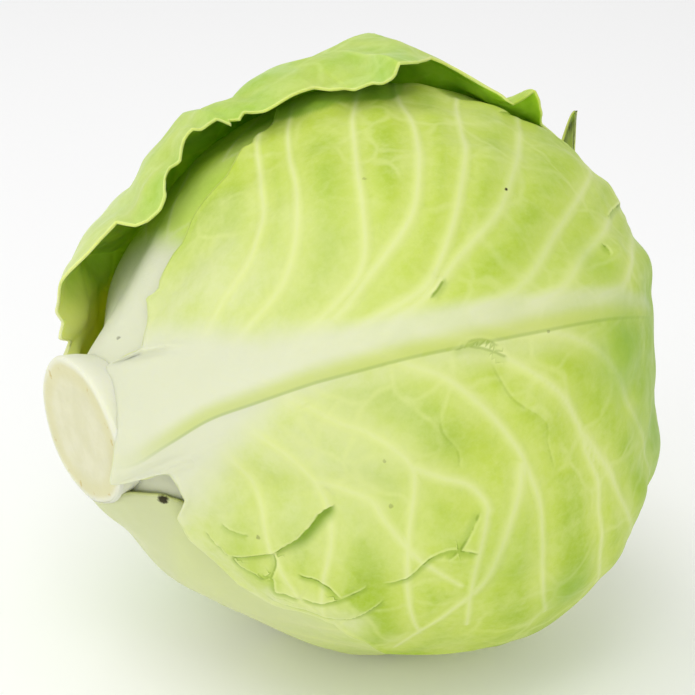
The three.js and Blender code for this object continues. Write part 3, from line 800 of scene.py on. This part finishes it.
def leaf_skin_group():
    """Blade, veins, net, white foot and torn rim of a leaf, with painted shade on the midrib's lower flank
    and a painted shadow along the crease under it, from what its mesh says of each place.
    """
    t, given, gives = new_group(
        "Leaf skin",
        [
            ("NodeSocketColor", "Blade", srgb(205, 221, 112)),
            ("NodeSocketColor", "Deep", srgb(186, 206, 92)),
            ("NodeSocketColor", "Vein", srgb(226, 234, 168)),
            ("NodeSocketColor", "Foot", srgb(240, 241, 225)),
            ("NodeSocketColor", "Rim", srgb(228, 236, 150)),
            ("NodeSocketFloat", "Vein width", 3.2),
            ("NodeSocketFloat", "Halo", 0.7),
            ("NodeSocketFloat", "Line", 0.2),
            ("NodeSocketFloat", "Net", 0.3),
        ],
        [("NodeSocketColor", "Colour"), ("NodeSocketFloat", "Height"), ("NodeSocketFloat", "Roughness")],
    )
    place = t.place()
    near, strength, pale = t.attribute("near"), t.attribute("strength"), t.attribute("pale")
    side = t.math("ABSOLUTE", t.attribute("side"))
    broad = t.noise(place, 26.0, 3.0, 0.6)
    fine = t.noise(place, 160.0, 4.0, 0.6)
    veil = t.attribute("veil")
    cell = t.times(t.ramp(near, 1.5, 10.0), t.ramp(broad, 0.3, 0.6))
    cell = t.times(cell, t.math("SUBTRACT", 1.0, veil))
    colour = t.mix(cell, given["Blade"], given["Deep"])
    mottle = t.ramp(t.noise(place, 75.0, 5.0, 0.65), 0.42, 0.7)
    colour = t.mix(t.times(mottle, 0.32), colour, given["Vein"])
    blotch = t.ramp(t.noise(place, 210.0, 4.0, 0.7, 0.6), 0.5, 0.72)
    colour = t.mix(t.times(blotch, 0.22), colour, given["Deep"])
    grain = t.ramp(t.noise(place, 420.0, 3.0, 0.7), 0.35, 0.7)
    colour = t.mix(t.times(grain, 0.16), colour, given["Vein"])
    haze = t.mix(0.5, given["Vein"], given["Foot"])
    cloud = t.ramp(t.noise(place, 50.0, 5.0, 0.7), 0.25, 0.68, 0.35, 1.0)
    colour = t.mix(t.times(veil, cloud), colour, haze)
    net = t.add("ShaderNodeGroup", node_tree=bpy.data.node_groups["Vein network"])
    t.feed(net.inputs["Scale"], 62.0)
    t.feed(net.inputs["Width"], 0.09)
    patchy = t.ramp(t.noise(place, 33.0, 2.0), 0.38, 0.6)
    threads = t.times(net.outputs["Threads"], t.times(patchy, given["Net"]))
    colour = t.mix(threads, colour, given["Vein"])
    halo = t.times(t.times(t.ramp(near, 8.0, 0.5), strength), t.times(given["Halo"], 0.45))
    colour = t.mix(halo, colour, given["Vein"])
    width = t.times(given["Vein width"], t.plus(t.times(strength, 0.75), 0.25))
    band = t.times(t.ramp(near, width, 0.0), given["Halo"])
    colour = t.mix(band, colour, given["Vein"])
    line = t.times(t.ramp(side, t.times(width, 0.4), 0.0), t.ramp(near, 1.3, 0.7))
    colour = t.mix(t.times(line, given["Line"]), colour, given["Foot"])
    colour = t.mix(pale, colour, given["Foot"])
    warm = t.times(t.ramp(t.noise(place, 45.0, 3.0), 0.5, 0.8), t.times(pale, 0.35))
    colour = t.mix(warm, colour, srgb(226, 229, 184))
    # Painted shade on the midrib's lower flank, which faces down, and a painted shadow line along the crease
    # under it.
    flank, edge = t.attribute("flank"), t.attribute("edge")
    lower = t.times(t.ramp(edge, 0.0, 0.6), t.ramp(edge, 6.0, 1.2))
    colour = t.mix(t.times(t.times(flank, lower), 0.72), colour, srgb(196, 208, 110))
    crease_shadow = t.ramp(t.math("ABSOLUTE", edge), 0.7, 0.1)
    colour = t.mix(t.times(t.times(flank, crease_shadow), 0.6), colour, srgb(158, 180, 76))
    rim = t.times(t.ramp(t.attribute("margin"), 0.8, 0.1), 0.5)
    colour = t.mix(rim, colour, given["Rim"])
    t.feed(gives["Colour"], colour)
    quiet = t.math("SUBTRACT", 1.0, pale)
    height = t.times(net.outputs["Cells"], t.times(quiet, 0.12))
    height = t.plus(height, t.times(band, 0.1))
    height = t.plus(height, t.times(fine, 0.14))
    height = t.plus(height, t.times(t.noise(place, 420.0, 4.0, 0.6), 0.09))
    t.feed(gives["Height"], height)
    t.feed(gives["Roughness"], t.ramp(fine, 0.3, 0.7, 0.38, 0.52))
    return t.tree


def new_material(name, glow):
    """A material with the soft shine of fresh skin, that lets light through as far as its glow says."""
    material = bpy.data.materials.new(name)
    material.use_nodes = True
    t = Tree(material.node_tree)
    shader = material.node_tree.nodes["Principled BSDF"]
    shader.inputs["Subsurface Weight"].default_value = glow
    shader.inputs["Subsurface Radius"].default_value = (1.0, 0.95, 0.4)
    shader.inputs["Subsurface Scale"].default_value = 0.003
    shader.inputs["Specular IOR Level"].default_value = SKIN_SHINE
    return material, t, shader


def finish_surface(t, shader, colour, height, roughness):
    """Joins a colour, a height in millimetres and a roughness to the shader."""
    bump = t.add("ShaderNodeBump", {"Height": height, "Distance": MM, "Strength": 1.0})
    t.feed(shader.inputs["Base Color"], colour)
    t.feed(shader.inputs["Normal"], bump.outputs[0])
    t.feed(shader.inputs["Roughness"], roughness)


def leaf_material(name, inputs, specks=(), bloom=0.0, shade=None, glow=0.3):
    """A leaf's skin with its own colours, dark specks and waxy bloom. With a shade, the front leaf's colour
    for its painted shade, it also paints that shade and the shadows and highlights of the torn places."""
    make_groups()
    material, t, shader = new_material(name, glow)
    skin = t.add("ShaderNodeGroup", inputs, node_tree=bpy.data.node_groups["Leaf skin"])
    colour, height = skin.outputs["Colour"], skin.outputs["Height"]
    place = t.place()
    if shade is not None:
        # Painted shade on the front leaf, as far as its shade attribute says.
        patches = t.ramp(t.noise(place, 60.0, 4.0, 0.65), 0.3, 0.7, 0.7, 1.0)
        colour = t.mix(t.times(t.attribute("shade"), patches), colour, shade)
    if bloom:
        haze = t.times(t.ramp(t.noise(place, 24.0, 4.0, 0.65), 0.46, 0.72), bloom)
        colour = t.mix(haze, colour, srgb(208, 228, 190))
    if shade is not None:
        colour = torn_places(t, place, colour)
    for centre, size, strength in specks:
        inputs = {"Centre": centre, "Size": size}
        speck = t.add("ShaderNodeGroup", inputs, node_tree=bpy.data.node_groups["Speck"])
        colour = t.mix(t.times(speck.outputs["Mask"], strength), colour, srgb(52, 48, 16))
    finish_surface(t, shader, colour, height, skin.outputs["Roughness"])
    return material


def torn_places(t, place, colour):
    """A painted soft shadow under each tear, a broken dark line along it that is painted shade in the crack
    and, on the faintest marks, a real dark scratch, a painted highlight on the lifted edge above it, and
    painted shadow in the open wedge under the first tear.
    """
    side, dark = t.attribute("tear"), t.attribute("tear_dark")
    close = t.times(t.ramp(t.attribute("tear_near"), 3.2, 1.2), dark)
    under = t.times(t.ramp(side, -2.8, -0.2), t.ramp(side, 0.3, 0.0))
    colour = t.mix(t.times(t.times(under, close), 0.7), colour, srgb(150, 178, 56))
    broken = t.ramp(t.noise(place, 260.0, 3.0), 0.4, 0.56)
    scratch_and_crack_shade = t.times(t.ramp(t.math("ABSOLUTE", side), 0.6, 0.1), t.times(broken, close))
    colour = t.mix(scratch_and_crack_shade, colour, srgb(126, 152, 40))
    # Painted highlight on the lifted edge above each tear.
    upper = t.times(t.ramp(side, 0.1, 0.5), t.ramp(side, 1.4, 0.7))
    colour = t.mix(t.times(t.times(upper, close), 0.3), colour, srgb(232, 240, 170))
    # Painted shadow in the open wedge under the first tear.
    return t.mix(t.times(t.attribute("tear_below"), 0.85), colour, srgb(140, 172, 48))


def stem_points(radius, along, angle):
    """The stem's surface from its spun profile: a slightly uneven round, cut off at a slant."""
    uneven = 1 + 0.018 * np.sin(2 * angle + 0.6) + 0.012 * np.sin(3 * angle + 2.0) + 0.006 * np.sin(7 * angle)
    radius = radius * uneven
    side = unit(np.cross([0, 0, 1.0], STEM_LINE))
    over = np.cross(STEM_LINE, side)
    flat = radius[:, None] * (np.cos(angle)[:, None] * side + np.sin(angle)[:, None] * over)
    slope = (flat @ CUT_FACING) / (STEM_LINE @ CUT_FACING)
    along = along - np.where(along > STEM_REACH - 2, slope, 0)
    return flat + along[:, None] * STEM_LINE


class CabbageSizes(bpy.types.PropertyGroup):
    blade: bpy.props.FloatProperty(
        name="Blade thickness", description="Thickness of a leaf between its veins",
        default=LEAF_BLADE * MM, min=0.6 * MM, unit="LENGTH",
    )
    blade_edge: bpy.props.FloatProperty(
        name="Margin thickness", description="Thickness of a leaf at its margin",
        default=0.8 * MM, min=0.4 * MM, unit="LENGTH",
    )
    vein_height: bpy.props.FloatProperty(
        name="Vein height", description="How far the side veins stand out of the blade",
        default=0.6 * MM, min=0.0, unit="LENGTH",
    )
    puff: bpy.props.FloatProperty(
        name="Swell between veins", description="How far the blade swells between its side veins",
        default=0.7 * MM, min=0.0, unit="LENGTH",
    )
    floor: bpy.props.FloatProperty(
        name="Floor", description="Width of the pale floor", default=8.0, min=1.0, unit="LENGTH",
    )


def colour_property(name, description, value):
    return bpy.props.FloatVectorProperty(
        name=name, description=description, default=srgb(*value), subtype="COLOR", size=3, min=0.0, max=1.0,
    )


class CabbageColours(bpy.types.PropertyGroup):
    blade: colour_property("Blade", "Yellow green of the blade of a leaf", (189, 208, 76))
    deep: colour_property("Deep", "Deeper green between the side veins", (162, 189, 46))
    vein: colour_property("Veins", "Pale green along the veins", (217, 226, 146))
    foot: colour_property("White foot", "White of the leaf bases and midribs", (216, 219, 189))
    rim: colour_property("Torn rim", "Bright line along a torn margin", (228, 238, 150))
    curl: colour_property("Outer leaf", "Green of the outermost leaf", (187, 206, 94))
    inside: colour_property("Inner face", "Deep green of a leaf's inner face", (158, 196, 54))
    cut: colour_property("Cut face", "Cream of the cut stem", (214, 212, 174))
    skin: colour_property("Stem skin", "Pale rim and sides of the stem", (226, 227, 205))
    floor: colour_property("Floor", "Pale floor", (252, 252, 252))


def outer_leaf_inputs(colours, **changes):
    inputs = {
        "Blade": colours.blade, "Deep": colours.deep, "Vein": colours.vein, "Foot": colours.foot,
        "Rim": colours.rim,
    }
    inputs.update(changes)
    return {name: (*value, 1.0) if hasattr(value, "__len__") and len(value) == 3 else value
            for name, value in inputs.items()}


def inner_face_material(colours):
    """The deep green inner face of a leaf, made once for all the leaves."""
    name = "Leaf inner face"
    return bpy.data.materials.get(name) or leaf_material(name, outer_leaf_inputs(
        colours, Blade=colours.inside, Deep=srgb(124, 168, 34), Vein=srgb(184, 210, 92),
        Foot=srgb(214, 224, 150), Rim=srgb(190, 212, 100), Halo=0.35, Line=0.1, Net=0.2,
    ), glow=1.0)


def make_groups():
    """The node groups that the leaves share, made once."""
    if "Vein network" not in bpy.data.node_groups:
        vein_network_group()
        speck_group()
        leaf_skin_group()


def seen_at(blade, pixel):
    """The place in metres on a blade that is seen at a pixel."""
    d = on_head([pixel], 0, leaf_radius(blade.leaf))[0]
    k = int((blade.d @ d).argmax())
    return tuple((blade.d[k] * blade.height[k] + HEAD_CENTRE) * MM)


def specks_on(blade, specks):
    """Specks with their places on a blade in the stead of their pixels."""
    return [(seen_at(blade, pixel), size, strength) for pixel, size, strength in specks]


class CABBAGE_OT_stem(bpy.types.Operator):
    """Makes the cut stem with the core behind it"""
    bl_idname = "cabbage.stem"
    bl_label = "Cut stem"

    def execute(self, context):
        colours = context.scene.cabbage_colours
        widen = np.tan(np.radians(STEM_ANGLE))
        rim = STEM_REACH * widen - 1.6
        core_top, core_end = STEM_REACH - 12, STEM_REACH - CORE_DEPTH
        neck = core_top * widen - 1.2
        profile = [(0, core_end), (CORE_END * 0.6, core_end), (CORE_END, core_end + 2),
                   (CORE_MIDDLE, mix(core_end, core_top, 0.5)), (neck, core_top)]
        profile += [(mix(neck, rim, t), mix(core_top, STEM_REACH - 1, t)) for t in (0.3, 0.6, 0.85, 1)]
        profile += [(rim - 0.25, STEM_REACH - 0.4), (rim - 0.9, STEM_REACH)]
        profile += [((rim - 0.9) * t, STEM_REACH) for t in np.linspace(0.97, 0, 26)]
        mesh = bpy.data.meshes.new("stem_cut")
        points = [(r * MM, 0, z * MM) for r, z in profile]
        mesh.from_pydata(points, [(k, k + 1) for k in range(len(points) - 1)], [])
        piece = bpy.data.objects.new("stem_cut", mesh)
        context.collection.objects.link(piece)
        select_only(piece)
        bpy.ops.object.mode_set(mode="EDIT")
        bpy.ops.mesh.select_all(action="SELECT")
        bpy.ops.mesh.spin(steps=120, angle=2 * np.pi, center=(0, 0, 0), axis=(0, 0, 1))
        bpy.ops.mesh.select_all(action="SELECT")
        bpy.ops.mesh.remove_doubles(threshold=1e-6)
        bpy.ops.mesh.normals_make_consistent(inside=False)
        bpy.ops.object.mode_set(mode="OBJECT")
        x, y, z = read_points(piece).T / MM
        radius, angle = np.hypot(x, y), np.arctan2(y, x)
        place_points(piece, stem_points(radius, z, angle))
        down_side = 1.2 + (STEM_REACH - z) / 20
        write_attributes(piece, across=np.where(z > STEM_REACH - 0.2, radius / rim, down_side))
        piece.data.materials.append(cut_material(colours))
        bpy.ops.object.shade_smooth_by_angle(angle=np.radians(38))
        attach(piece, "root")
        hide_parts("stem")
        return {"FINISHED"}


def cut_material(colours):
    """The cream cut face with its paler ring, brown flecks by the rim and knife marks, and the pale skin."""
    material, t, shader = new_material("Cut stem", 0.3)
    place = t.place()
    across = t.attribute("across")
    soft = t.noise(place, 120.0, 5.0, 0.6)
    colour = t.mix(t.ramp(soft, 0.35, 0.7), (*colours.cut, 1.0), srgb(222, 220, 188))
    ring = t.times(t.ramp(across, 0.62, 0.8), t.ramp(across, 0.93, 0.86))
    colour = t.mix(t.times(ring, 0.55), colour, srgb(214, 210, 158))
    by_rim = t.times(t.ramp(across, 0.74, 0.84), t.ramp(across, 0.96, 0.9))
    fleck = t.times(t.ramp(t.noise(place, 420.0, 3.0), 0.6, 0.72), by_rim)
    colour = t.mix(t.times(fleck, 0.75), colour, srgb(198, 178, 104))
    colour = t.mix(t.ramp(across, 0.88, 0.97), colour, (*colours.skin, 1.0))
    green = t.times(t.ramp(t.noise(place, 60.0, 3.0), 0.45, 0.7), t.ramp(across, 1.0, 1.25))
    colour = t.mix(t.times(green, 0.3), colour, srgb(222, 230, 184))
    marks = t.add("ShaderNodeMapping", {"Vector": place})
    marks.inputs["Scale"].default_value = (300.0, 60.0, 900.0)
    marks.inputs["Rotation"].default_value = (0.4, 0.0, 0.0)
    knife = t.noise(marks.outputs[0], 1.0, 2.0)
    pores = t.noise(place, 1100.0, 2.0)
    height = t.plus(t.times(knife, 0.12), t.plus(t.times(soft, 0.25), t.times(pores, 0.08)))
    finish_surface(t, shader, colour, height, t.ramp(soft, 0.3, 0.7, 0.45, 0.62))
    return material


class CABBAGE_OT_heart(bpy.types.Operator):
    """Makes the dense heart of folded leaves"""
    bl_idname = "cabbage.heart"
    bl_label = "Heart"

    def execute(self, context):
        colours = context.scene.cabbage_colours
        bpy.ops.object.select_all(action="DESELECT")
        bpy.ops.mesh.primitive_uv_sphere_add(segments=120, ring_count=90, radius=1)
        piece = context.object
        piece.name = piece.data.name = "heart_ball"
        ball = unit(read_points(piece))
        side = unit(np.cross([0, 0, 1.0], STEM_LINE))
        d = ball[:, :1] * side + ball[:, 1:2] * np.cross(STEM_LINE, side) + ball[:, 2:] * STEM_LINE
        radius = heart_radius(d)
        folds = [Leaf("fold", turn, 84, 0, INNER_OUTLINE, (1, 1, 8, 4), 0.0) for turn in (65, -72, 150, 12)]
        margin = np.full(len(d), 30.0)
        for fold in folds:
            far, bearing = fold.seen(d)[:2]
            gap = fold.reach(bearing) - far
            radius -= HEART_FOLD_STEP * (1 - smooth(gap / 3))
            margin = np.minimum(margin, np.abs(gap) * 1.4)
        radius = np.minimum(radius, (STEM_REACH - HEART_SHOULDER) / np.maximum(0.2, d @ STEM_LINE))
        place_points(piece, d * radius[:, None])
        flat = folds[0].flat(d)
        near, sign, along = line_field(flat, grown_veins(folds[0], 7, 11))
        off = np.abs(flat[:, 1])
        write_attributes(
            piece, near=np.clip(near, 0, 15), side=np.clip(sign, -3, 3), strength=1 - 0.7 * along,
            pale=base_fan(flat[:, 0] + 103, off), veil=0 * off, flank=0 * off, edge=off, margin=margin,
        )
        piece.data.materials.append(leaf_material("Heart leaf", outer_leaf_inputs(
            colours, Blade=srgb(216, 226, 150), Deep=srgb(206, 220, 134), Vein=srgb(232, 237, 190))))
        select_only(piece)
        bpy.ops.object.shade_smooth()
        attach(piece, "root")
        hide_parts("heart")
        return {"FINISHED"}


class CABBAGE_OT_inner_leaves(bpy.types.Operator):
    """Makes the two inner wrapper leaves"""
    bl_idname = "cabbage.inner_leaves"
    bl_label = "Inner wrapper leaves"

    def execute(self, context):
        colours, sizes = context.scene.cabbage_colours, context.scene.cabbage_sizes
        outer = leaf_material("Inner wrapper leaf", outer_leaf_inputs(
            colours, Blade=srgb(210, 223, 130), Deep=srgb(198, 215, 112)))
        inside = inner_face_material(colours)
        for node, seed in (("leaf_back_lower", 21), ("leaf_front_inner", 22)):
            leaf = BY_NODE[node]
            blade = Blade(leaf, INNER_CELLS, sizes, grown_veins(leaf, LEAF_PAIRS, seed))
            blade.raise_veins(sizes.vein_height / MM * 0.6, 1.4, 0.2)
            blade.write("leaf_inner", outer, inside)
        return {"FINISHED"}


class CABBAGE_OT_upper_leaf(bpy.types.Operator):
    """Makes the wrapper leaf over the top, white at its foot"""
    bl_idname = "cabbage.upper_leaf"
    bl_label = "Upper wrapper leaf"

    def execute(self, context):
        colours, sizes = context.scene.cabbage_colours, context.scene.cabbage_sizes
        leaf = BY_NODE["leaf_upper"]
        blade = Blade(leaf, UPPER_CELLS, sizes, grown_veins(leaf, LEAF_PAIRS, 23))
        white = smooth((47 - blade.along) / 13)
        blade.pale = np.maximum(0.15 * blade.pale, white * smooth((66 - blade.off) / 16))
        blade.veil *= white
        blade.raise_veins(sizes.vein_height / MM * 0.6, 1.4, 0.2)
        blade.height += UPPER_BULGE * np.exp(-(angle_to(blade.d, UPPER_BULGE_AT) / UPPER_BULGE_SPREAD) ** 2)
        outer = leaf_material("Upper wrapper leaf", outer_leaf_inputs(
            colours, Blade=srgb(186, 214, 66), Deep=srgb(172, 204, 50), Vein=srgb(200, 222, 100), Halo=0.4),
            specks_on(blade, UPPER_SPECKS))
        inside = inner_face_material(colours)
        blade.write("leaf_inner", outer, inside)
        return {"FINISHED"}


class CABBAGE_OT_bottom_leaf(bpy.types.Operator):
    """Makes the wrapper leaf underneath, which the head rests on"""
    bl_idname = "cabbage.bottom_leaf"
    bl_label = "Bottom wrapper leaf"

    def execute(self, context):
        colours, sizes = context.scene.cabbage_colours, context.scene.cabbage_sizes
        leaf = BY_NODE["leaf_bottom"]
        blade = Blade(leaf, BOTTOM_CELLS, sizes, grown_veins(leaf, LEAF_PAIRS, 24))
        white = 0.6 * smooth((75 - blade.along) / 30) * smooth((80 - blade.off) / 30)
        blade.pale = np.maximum(blade.pale, white)
        blade.raise_veins(sizes.vein_height / MM * 0.8, 1.4, 0.3)
        # Its small hole is painted as a dark spot of shade.
        outer = leaf_material("Bottom wrapper leaf", outer_leaf_inputs(
            colours, Blade=srgb(204, 217, 134), Deep=srgb(192, 210, 112), Foot=srgb(203, 209, 160)),
            specks_on(blade, BOTTOM_HOLE_SHADE))
        inside = inner_face_material(colours)
        blade.write("leaf_outer", outer, inside)
        return {"FINISHED"}


class CABBAGE_OT_front_leaf(bpy.types.Operator):
    """Makes the large veined front leaf with its midrib and its torn places"""
    bl_idname = "cabbage.front_leaf"
    bl_label = "Front leaf"

    def execute(self, context):
        colours, sizes = context.scene.cabbage_colours, context.scene.cabbage_sizes
        leaf = BY_NODE["leaf_front"]
        outside = leaf_radius(leaf)
        leaf.follow(on_head(FRONT_UPPER_MARGIN, 1.5, outside), 12, 2)
        leaf.follow(on_head(FRONT_LOWER_MARGIN, 0, outside), 3, 25)
        midrib = leaf.flat(on_head(FRONT_MIDRIB, 1, outside))
        veins = [leaf.flat(on_head(line, 0, outside)) for line in FRONT_VEINS]
        veins = [resample(run_on(line)) for line in veins]
        blade = Blade(leaf, FINE_CELLS, sizes, veins, midrib)
        upper_half = np.interp(blade.along, [0, 40, 80, 130, 180], [14, 10, 7, 5, 3.2])
        lower_half = np.interp(blade.along, [0, 30, 55, 80, 130, 180], [12, 9.5, 7.6, 6.6, 5.6, 3.4])
        crest = np.interp(blade.along, [0, 25, 60, 110, 190], [0.2, 2.0, 2.8, 2.0, 0.9])
        down = blade.off / lower_half
        lower_side = (1 - 0.4 * np.minimum(down, 1) ** 2) * np.exp(-np.minimum(down, 2) ** 7)
        blade.height += crest * np.where(blade.over > 0, np.exp(-(blade.off / upper_half) ** 2), lower_side)
        # How far along the midrib its lower flank is painted with shade.
        fade = smooth((blade.along + 6) / 26) * smooth((190 - blade.along) / 60)
        blade.flank = fade
        blade.edge = blade.over + lower_half
        spread = smooth((blade.edge + 9) / 7) * (blade.edge < 0.3) * smooth((150 - blade.along) / 60)
        blade.veil = np.maximum(blade.veil, 0.75 * fade * spread)
        # Painted shade: deeper green towards the right of the view, where the light falls off; a little of it
        # also on the upper half.
        right = camera_axes()[2]
        shade = 0.75 * smooth((blade.d @ right - 0.68) / 0.3)
        shade = np.maximum(shade, 0.16 * smooth((blade.d @ right - 0.12) / 0.3) * smooth(blade.over / 6))
        # Painted shade at the listed spots.
        for pixel, width, strength in FRONT_DEEP_SHADE:
            away = np.linalg.norm(blade.flat - leaf.flat(on_head([pixel], 0, outside)), axis=1)
            shade = np.maximum(shade, strength * np.exp(-(away / width) ** 2))
        # Painted shadow of the curled leaf, on the margin's side of that line.
        curl, above = line_field(blade.flat, [resample(leaf.flat(on_head(CURL_SHADE, 0, outside)))])[:2]
        shade = np.maximum(shade, 0.85 * smooth((above + 1.2) / 2.2) * smooth((18 - curl) / 8))
        low = line_field(blade.flat, [resample(leaf.flat(on_head(FRONT_LOWER_MARGIN[6:-2], 0, outside)))])[0]
        blade.veil = np.maximum(blade.veil, 0.9 * smooth((17 - low) / 12))
        blade.raise_veins(sizes.vein_height / MM, 1.5, sizes.puff / MM)
        blade.wrinkle(0.5, 34.0, 5)
        blade.height += 0.35 * np.exp(-((blade.margin - 1.4) / 1.0) ** 2)
        tear, tear_near, dark, below = self.tear(blade, leaf)
        outer = leaf_material("Front leaf", outer_leaf_inputs(
            colours, Halo=0.8, Line=0.12, Net=0.34),
            specks_on(blade, FRONT_SPECKS), shade=srgb(128, 170, 40))
        inside = inner_face_material(colours)
        write_attributes(
            blade.piece, tear=tear, tear_near=tear_near, tear_dark=dark, tear_below=below, shade=shade)
        blade.write("leaf_outer", outer, inside)
        return {"FINISHED"}

    def tear(self, blade, leaf):
        """Steps the blade along each tear, and says for each place how far over the nearest tear it is, how
        near that is, how strongly its painted shadow and highlight show there and how much painted shadow
        shows in the open wedge under the first one."""
        nearest = np.full(len(blade.d), 1e6)
        signed, dark, below = np.full(len(blade.d), 9.0), np.zeros(len(blade.d)), np.zeros(len(blade.d))
        for number, (pixels, step) in enumerate(FRONT_TEARS):
            line = resample(leaf.flat(on_head(pixels, 0, leaf_radius(leaf))), 1.0)
            near, side, along = line_field(blade.flat, [line])
            ends = smooth(along / 0.12) * smooth((1 - along) / 0.06)
            over = smooth(side / 0.9 + 0.5) * np.exp(-(np.maximum(side, 0) / 9) ** 2)
            blade.height += step * 0.7 * over * ends * np.exp(-(np.maximum(near - np.abs(side), 0)))
            closer = near < nearest
            nearest = np.where(closer, near, nearest)
            signed = np.where(closer, side, signed)
            dark = np.where(closer, min(0.95, 0.1 + step) * ends, dark)
            if number == 0:
                wedge = smooth((along - 0.55) / 0.2) * smooth((1 - along) / 0.05)
                below = wedge * (side < 0.3) * smooth((4.5 - near) / 4)
                blade.height -= 0.9 * below
        return np.clip(signed, -9, 9), np.clip(nearest, 0, 9), dark, below


def run_on(line):
    """A vein carried on past what the photograph shows of it, bending towards the tip."""
    heading = unit(line[-1] - line[-2])
    extra = []
    point = line[-1]
    for _ in range(4):
        heading = unit(heading + np.array([0.12, 0]))
        point = point + 8 * heading
        extra.append(point)
    return np.concatenate([line, extra])


class CABBAGE_OT_back_leaf(bpy.types.Operator):
    """Makes the outermost leaf, whose torn margin stands off and curls over the top"""
    bl_idname = "cabbage.back_leaf"
    bl_label = "Back leaf"

    def execute(self, context):
        colours, sizes = context.scene.cabbage_colours, context.scene.cabbage_sizes
        leaf = BY_NODE["leaf_back"]
        margin = np.array(BACK_MARGIN, float)
        leaf.follow(on_head(margin[:, :2], margin[:, 2]), 3, 6, margin[:, 2])
        blade = Blade(leaf, FINE_CELLS, sizes, grown_veins(leaf, LEAF_PAIRS, 25))
        blade.raise_veins(sizes.vein_height / MM, 1.5, sizes.puff / MM)
        blade.wrinkle(0.7, 30.0, 9)
        turn = np.radians(blade.bearing)[:, None]
        around = np.sin(turn) * leaf.along - np.cos(turn) * leaf.side
        for start, top, end, height, lean in BACK_POINTS:
            tip = [start, top - POINT_TIP, top + POINT_TIP, end]
            rise = np.interp(blade.bearing, tip, [0, 1, 1, 0])
            rise = rise * smooth((POINT_DEPTH - blade.margin) / POINT_DEPTH)
            blade.height += height * rise
            blade.shift += lean * rise[:, None] * around
            blade.margin = blade.margin + 12 * rise
        outer = leaf_material("Back leaf", outer_leaf_inputs(
            colours, Blade=colours.curl, Deep=srgb(160, 194, 66), Vein=srgb(206, 224, 140),
            Halo=0.4, Line=0.1), bloom=0.36, glow=0.7)
        inside = inner_face_material(colours)
        blade.write("leaf_outer", outer, inside)
        return {"FINISHED"}


class CABBAGE_OT_stage(bpy.types.Operator):
    """Sets the pale floor, the soft studio light and the camera"""
    bl_idname = "cabbage.stage"
    bl_label = "Floor, light and camera"

    def execute(self, context):
        scene = context.scene
        bpy.ops.object.select_all(action="DESELECT")
        bpy.ops.mesh.primitive_plane_add(size=scene.cabbage_sizes.floor)
        floor = context.object
        floor.name = "stage_floor"
        material = bpy.data.materials.new("Pale floor")
        material.use_nodes = True
        shader = material.node_tree.nodes["Principled BSDF"]
        shader.inputs["Base Color"].default_value = (*scene.cabbage_colours.floor, 1.0)
        shader.inputs["Roughness"].default_value = 0.9
        floor.data.materials.append(material)
        world = bpy.data.worlds.new("Studio")
        world.use_nodes = True
        world.node_tree.nodes["Background"].inputs["Color"].default_value = (1.0, 1.0, 1.0, 1.0)
        world.node_tree.nodes["Background"].inputs["Strength"].default_value = WORLD_STRENGTH
        scene.world = world
        scene.view_settings.view_transform = "Standard"
        target = Vector(HEAD_CENTRE * MM)
        for name, place, size, energy in LIGHTS:
            bpy.ops.object.light_add(type="AREA", location=place)
            light = context.object
            light.name = light.data.name = name
            light.data.size = size
            light.data.energy = energy
            light.rotation_euler = (target - Vector(place)).to_track_quat("-Z", "Y").to_euler()
        place, forward = camera_axes()[:2]
        bpy.ops.object.camera_add(location=tuple(place * MM))
        camera = context.object
        camera.rotation_euler = Vector(forward).to_track_quat("-Z", "Y").to_euler()
        camera.data.lens = CAMERA_LENS
        camera.data.sensor_width = CAMERA_SENSOR
        scene.camera = camera
        return {"FINISHED"}


class CABBAGE_PT_panel(bpy.types.Panel):
    bl_label = "Cabbage head"
    bl_idname = "CABBAGE_PT_panel"
    bl_space_type = "VIEW_3D"
    bl_region_type = "UI"
    bl_category = "Cabbage"

    def draw(self, context):
        for group in (context.scene.cabbage_sizes, context.scene.cabbage_colours):
            for name in group.__annotations__:
                self.layout.prop(group, name)
        for operator in OPERATORS:
            self.layout.operator(operator.bl_idname)


OPERATORS = (
    CABBAGE_OT_stem, CABBAGE_OT_heart, CABBAGE_OT_inner_leaves, CABBAGE_OT_upper_leaf, CABBAGE_OT_bottom_leaf,
    CABBAGE_OT_front_leaf, CABBAGE_OT_back_leaf, CABBAGE_OT_stage,
)
CLASSES = (CabbageSizes, CabbageColours, *OPERATORS, CABBAGE_PT_panel)


def register():
    for cls in CLASSES:
        bpy.utils.register_class(cls)
    bpy.types.Scene.cabbage_sizes = bpy.props.PointerProperty(type=CabbageSizes)
    bpy.types.Scene.cabbage_colours = bpy.props.PointerProperty(type=CabbageColours)


def unregister():
    del bpy.types.Scene.cabbage_colours
    del bpy.types.Scene.cabbage_sizes
    for cls in reversed(CLASSES):
        bpy.utils.unregister_class(cls)


def main():
    register()
    bpy.ops.cabbage.stem()
    bpy.ops.cabbage.heart()
    bpy.ops.cabbage.inner_leaves()
    bpy.ops.cabbage.upper_leaf()
    bpy.ops.cabbage.bottom_leaf()
    bpy.ops.cabbage.front_leaf()
    bpy.ops.cabbage.back_leaf()
    bpy.ops.cabbage.stage()


if __name__ == "__main__":
    main()
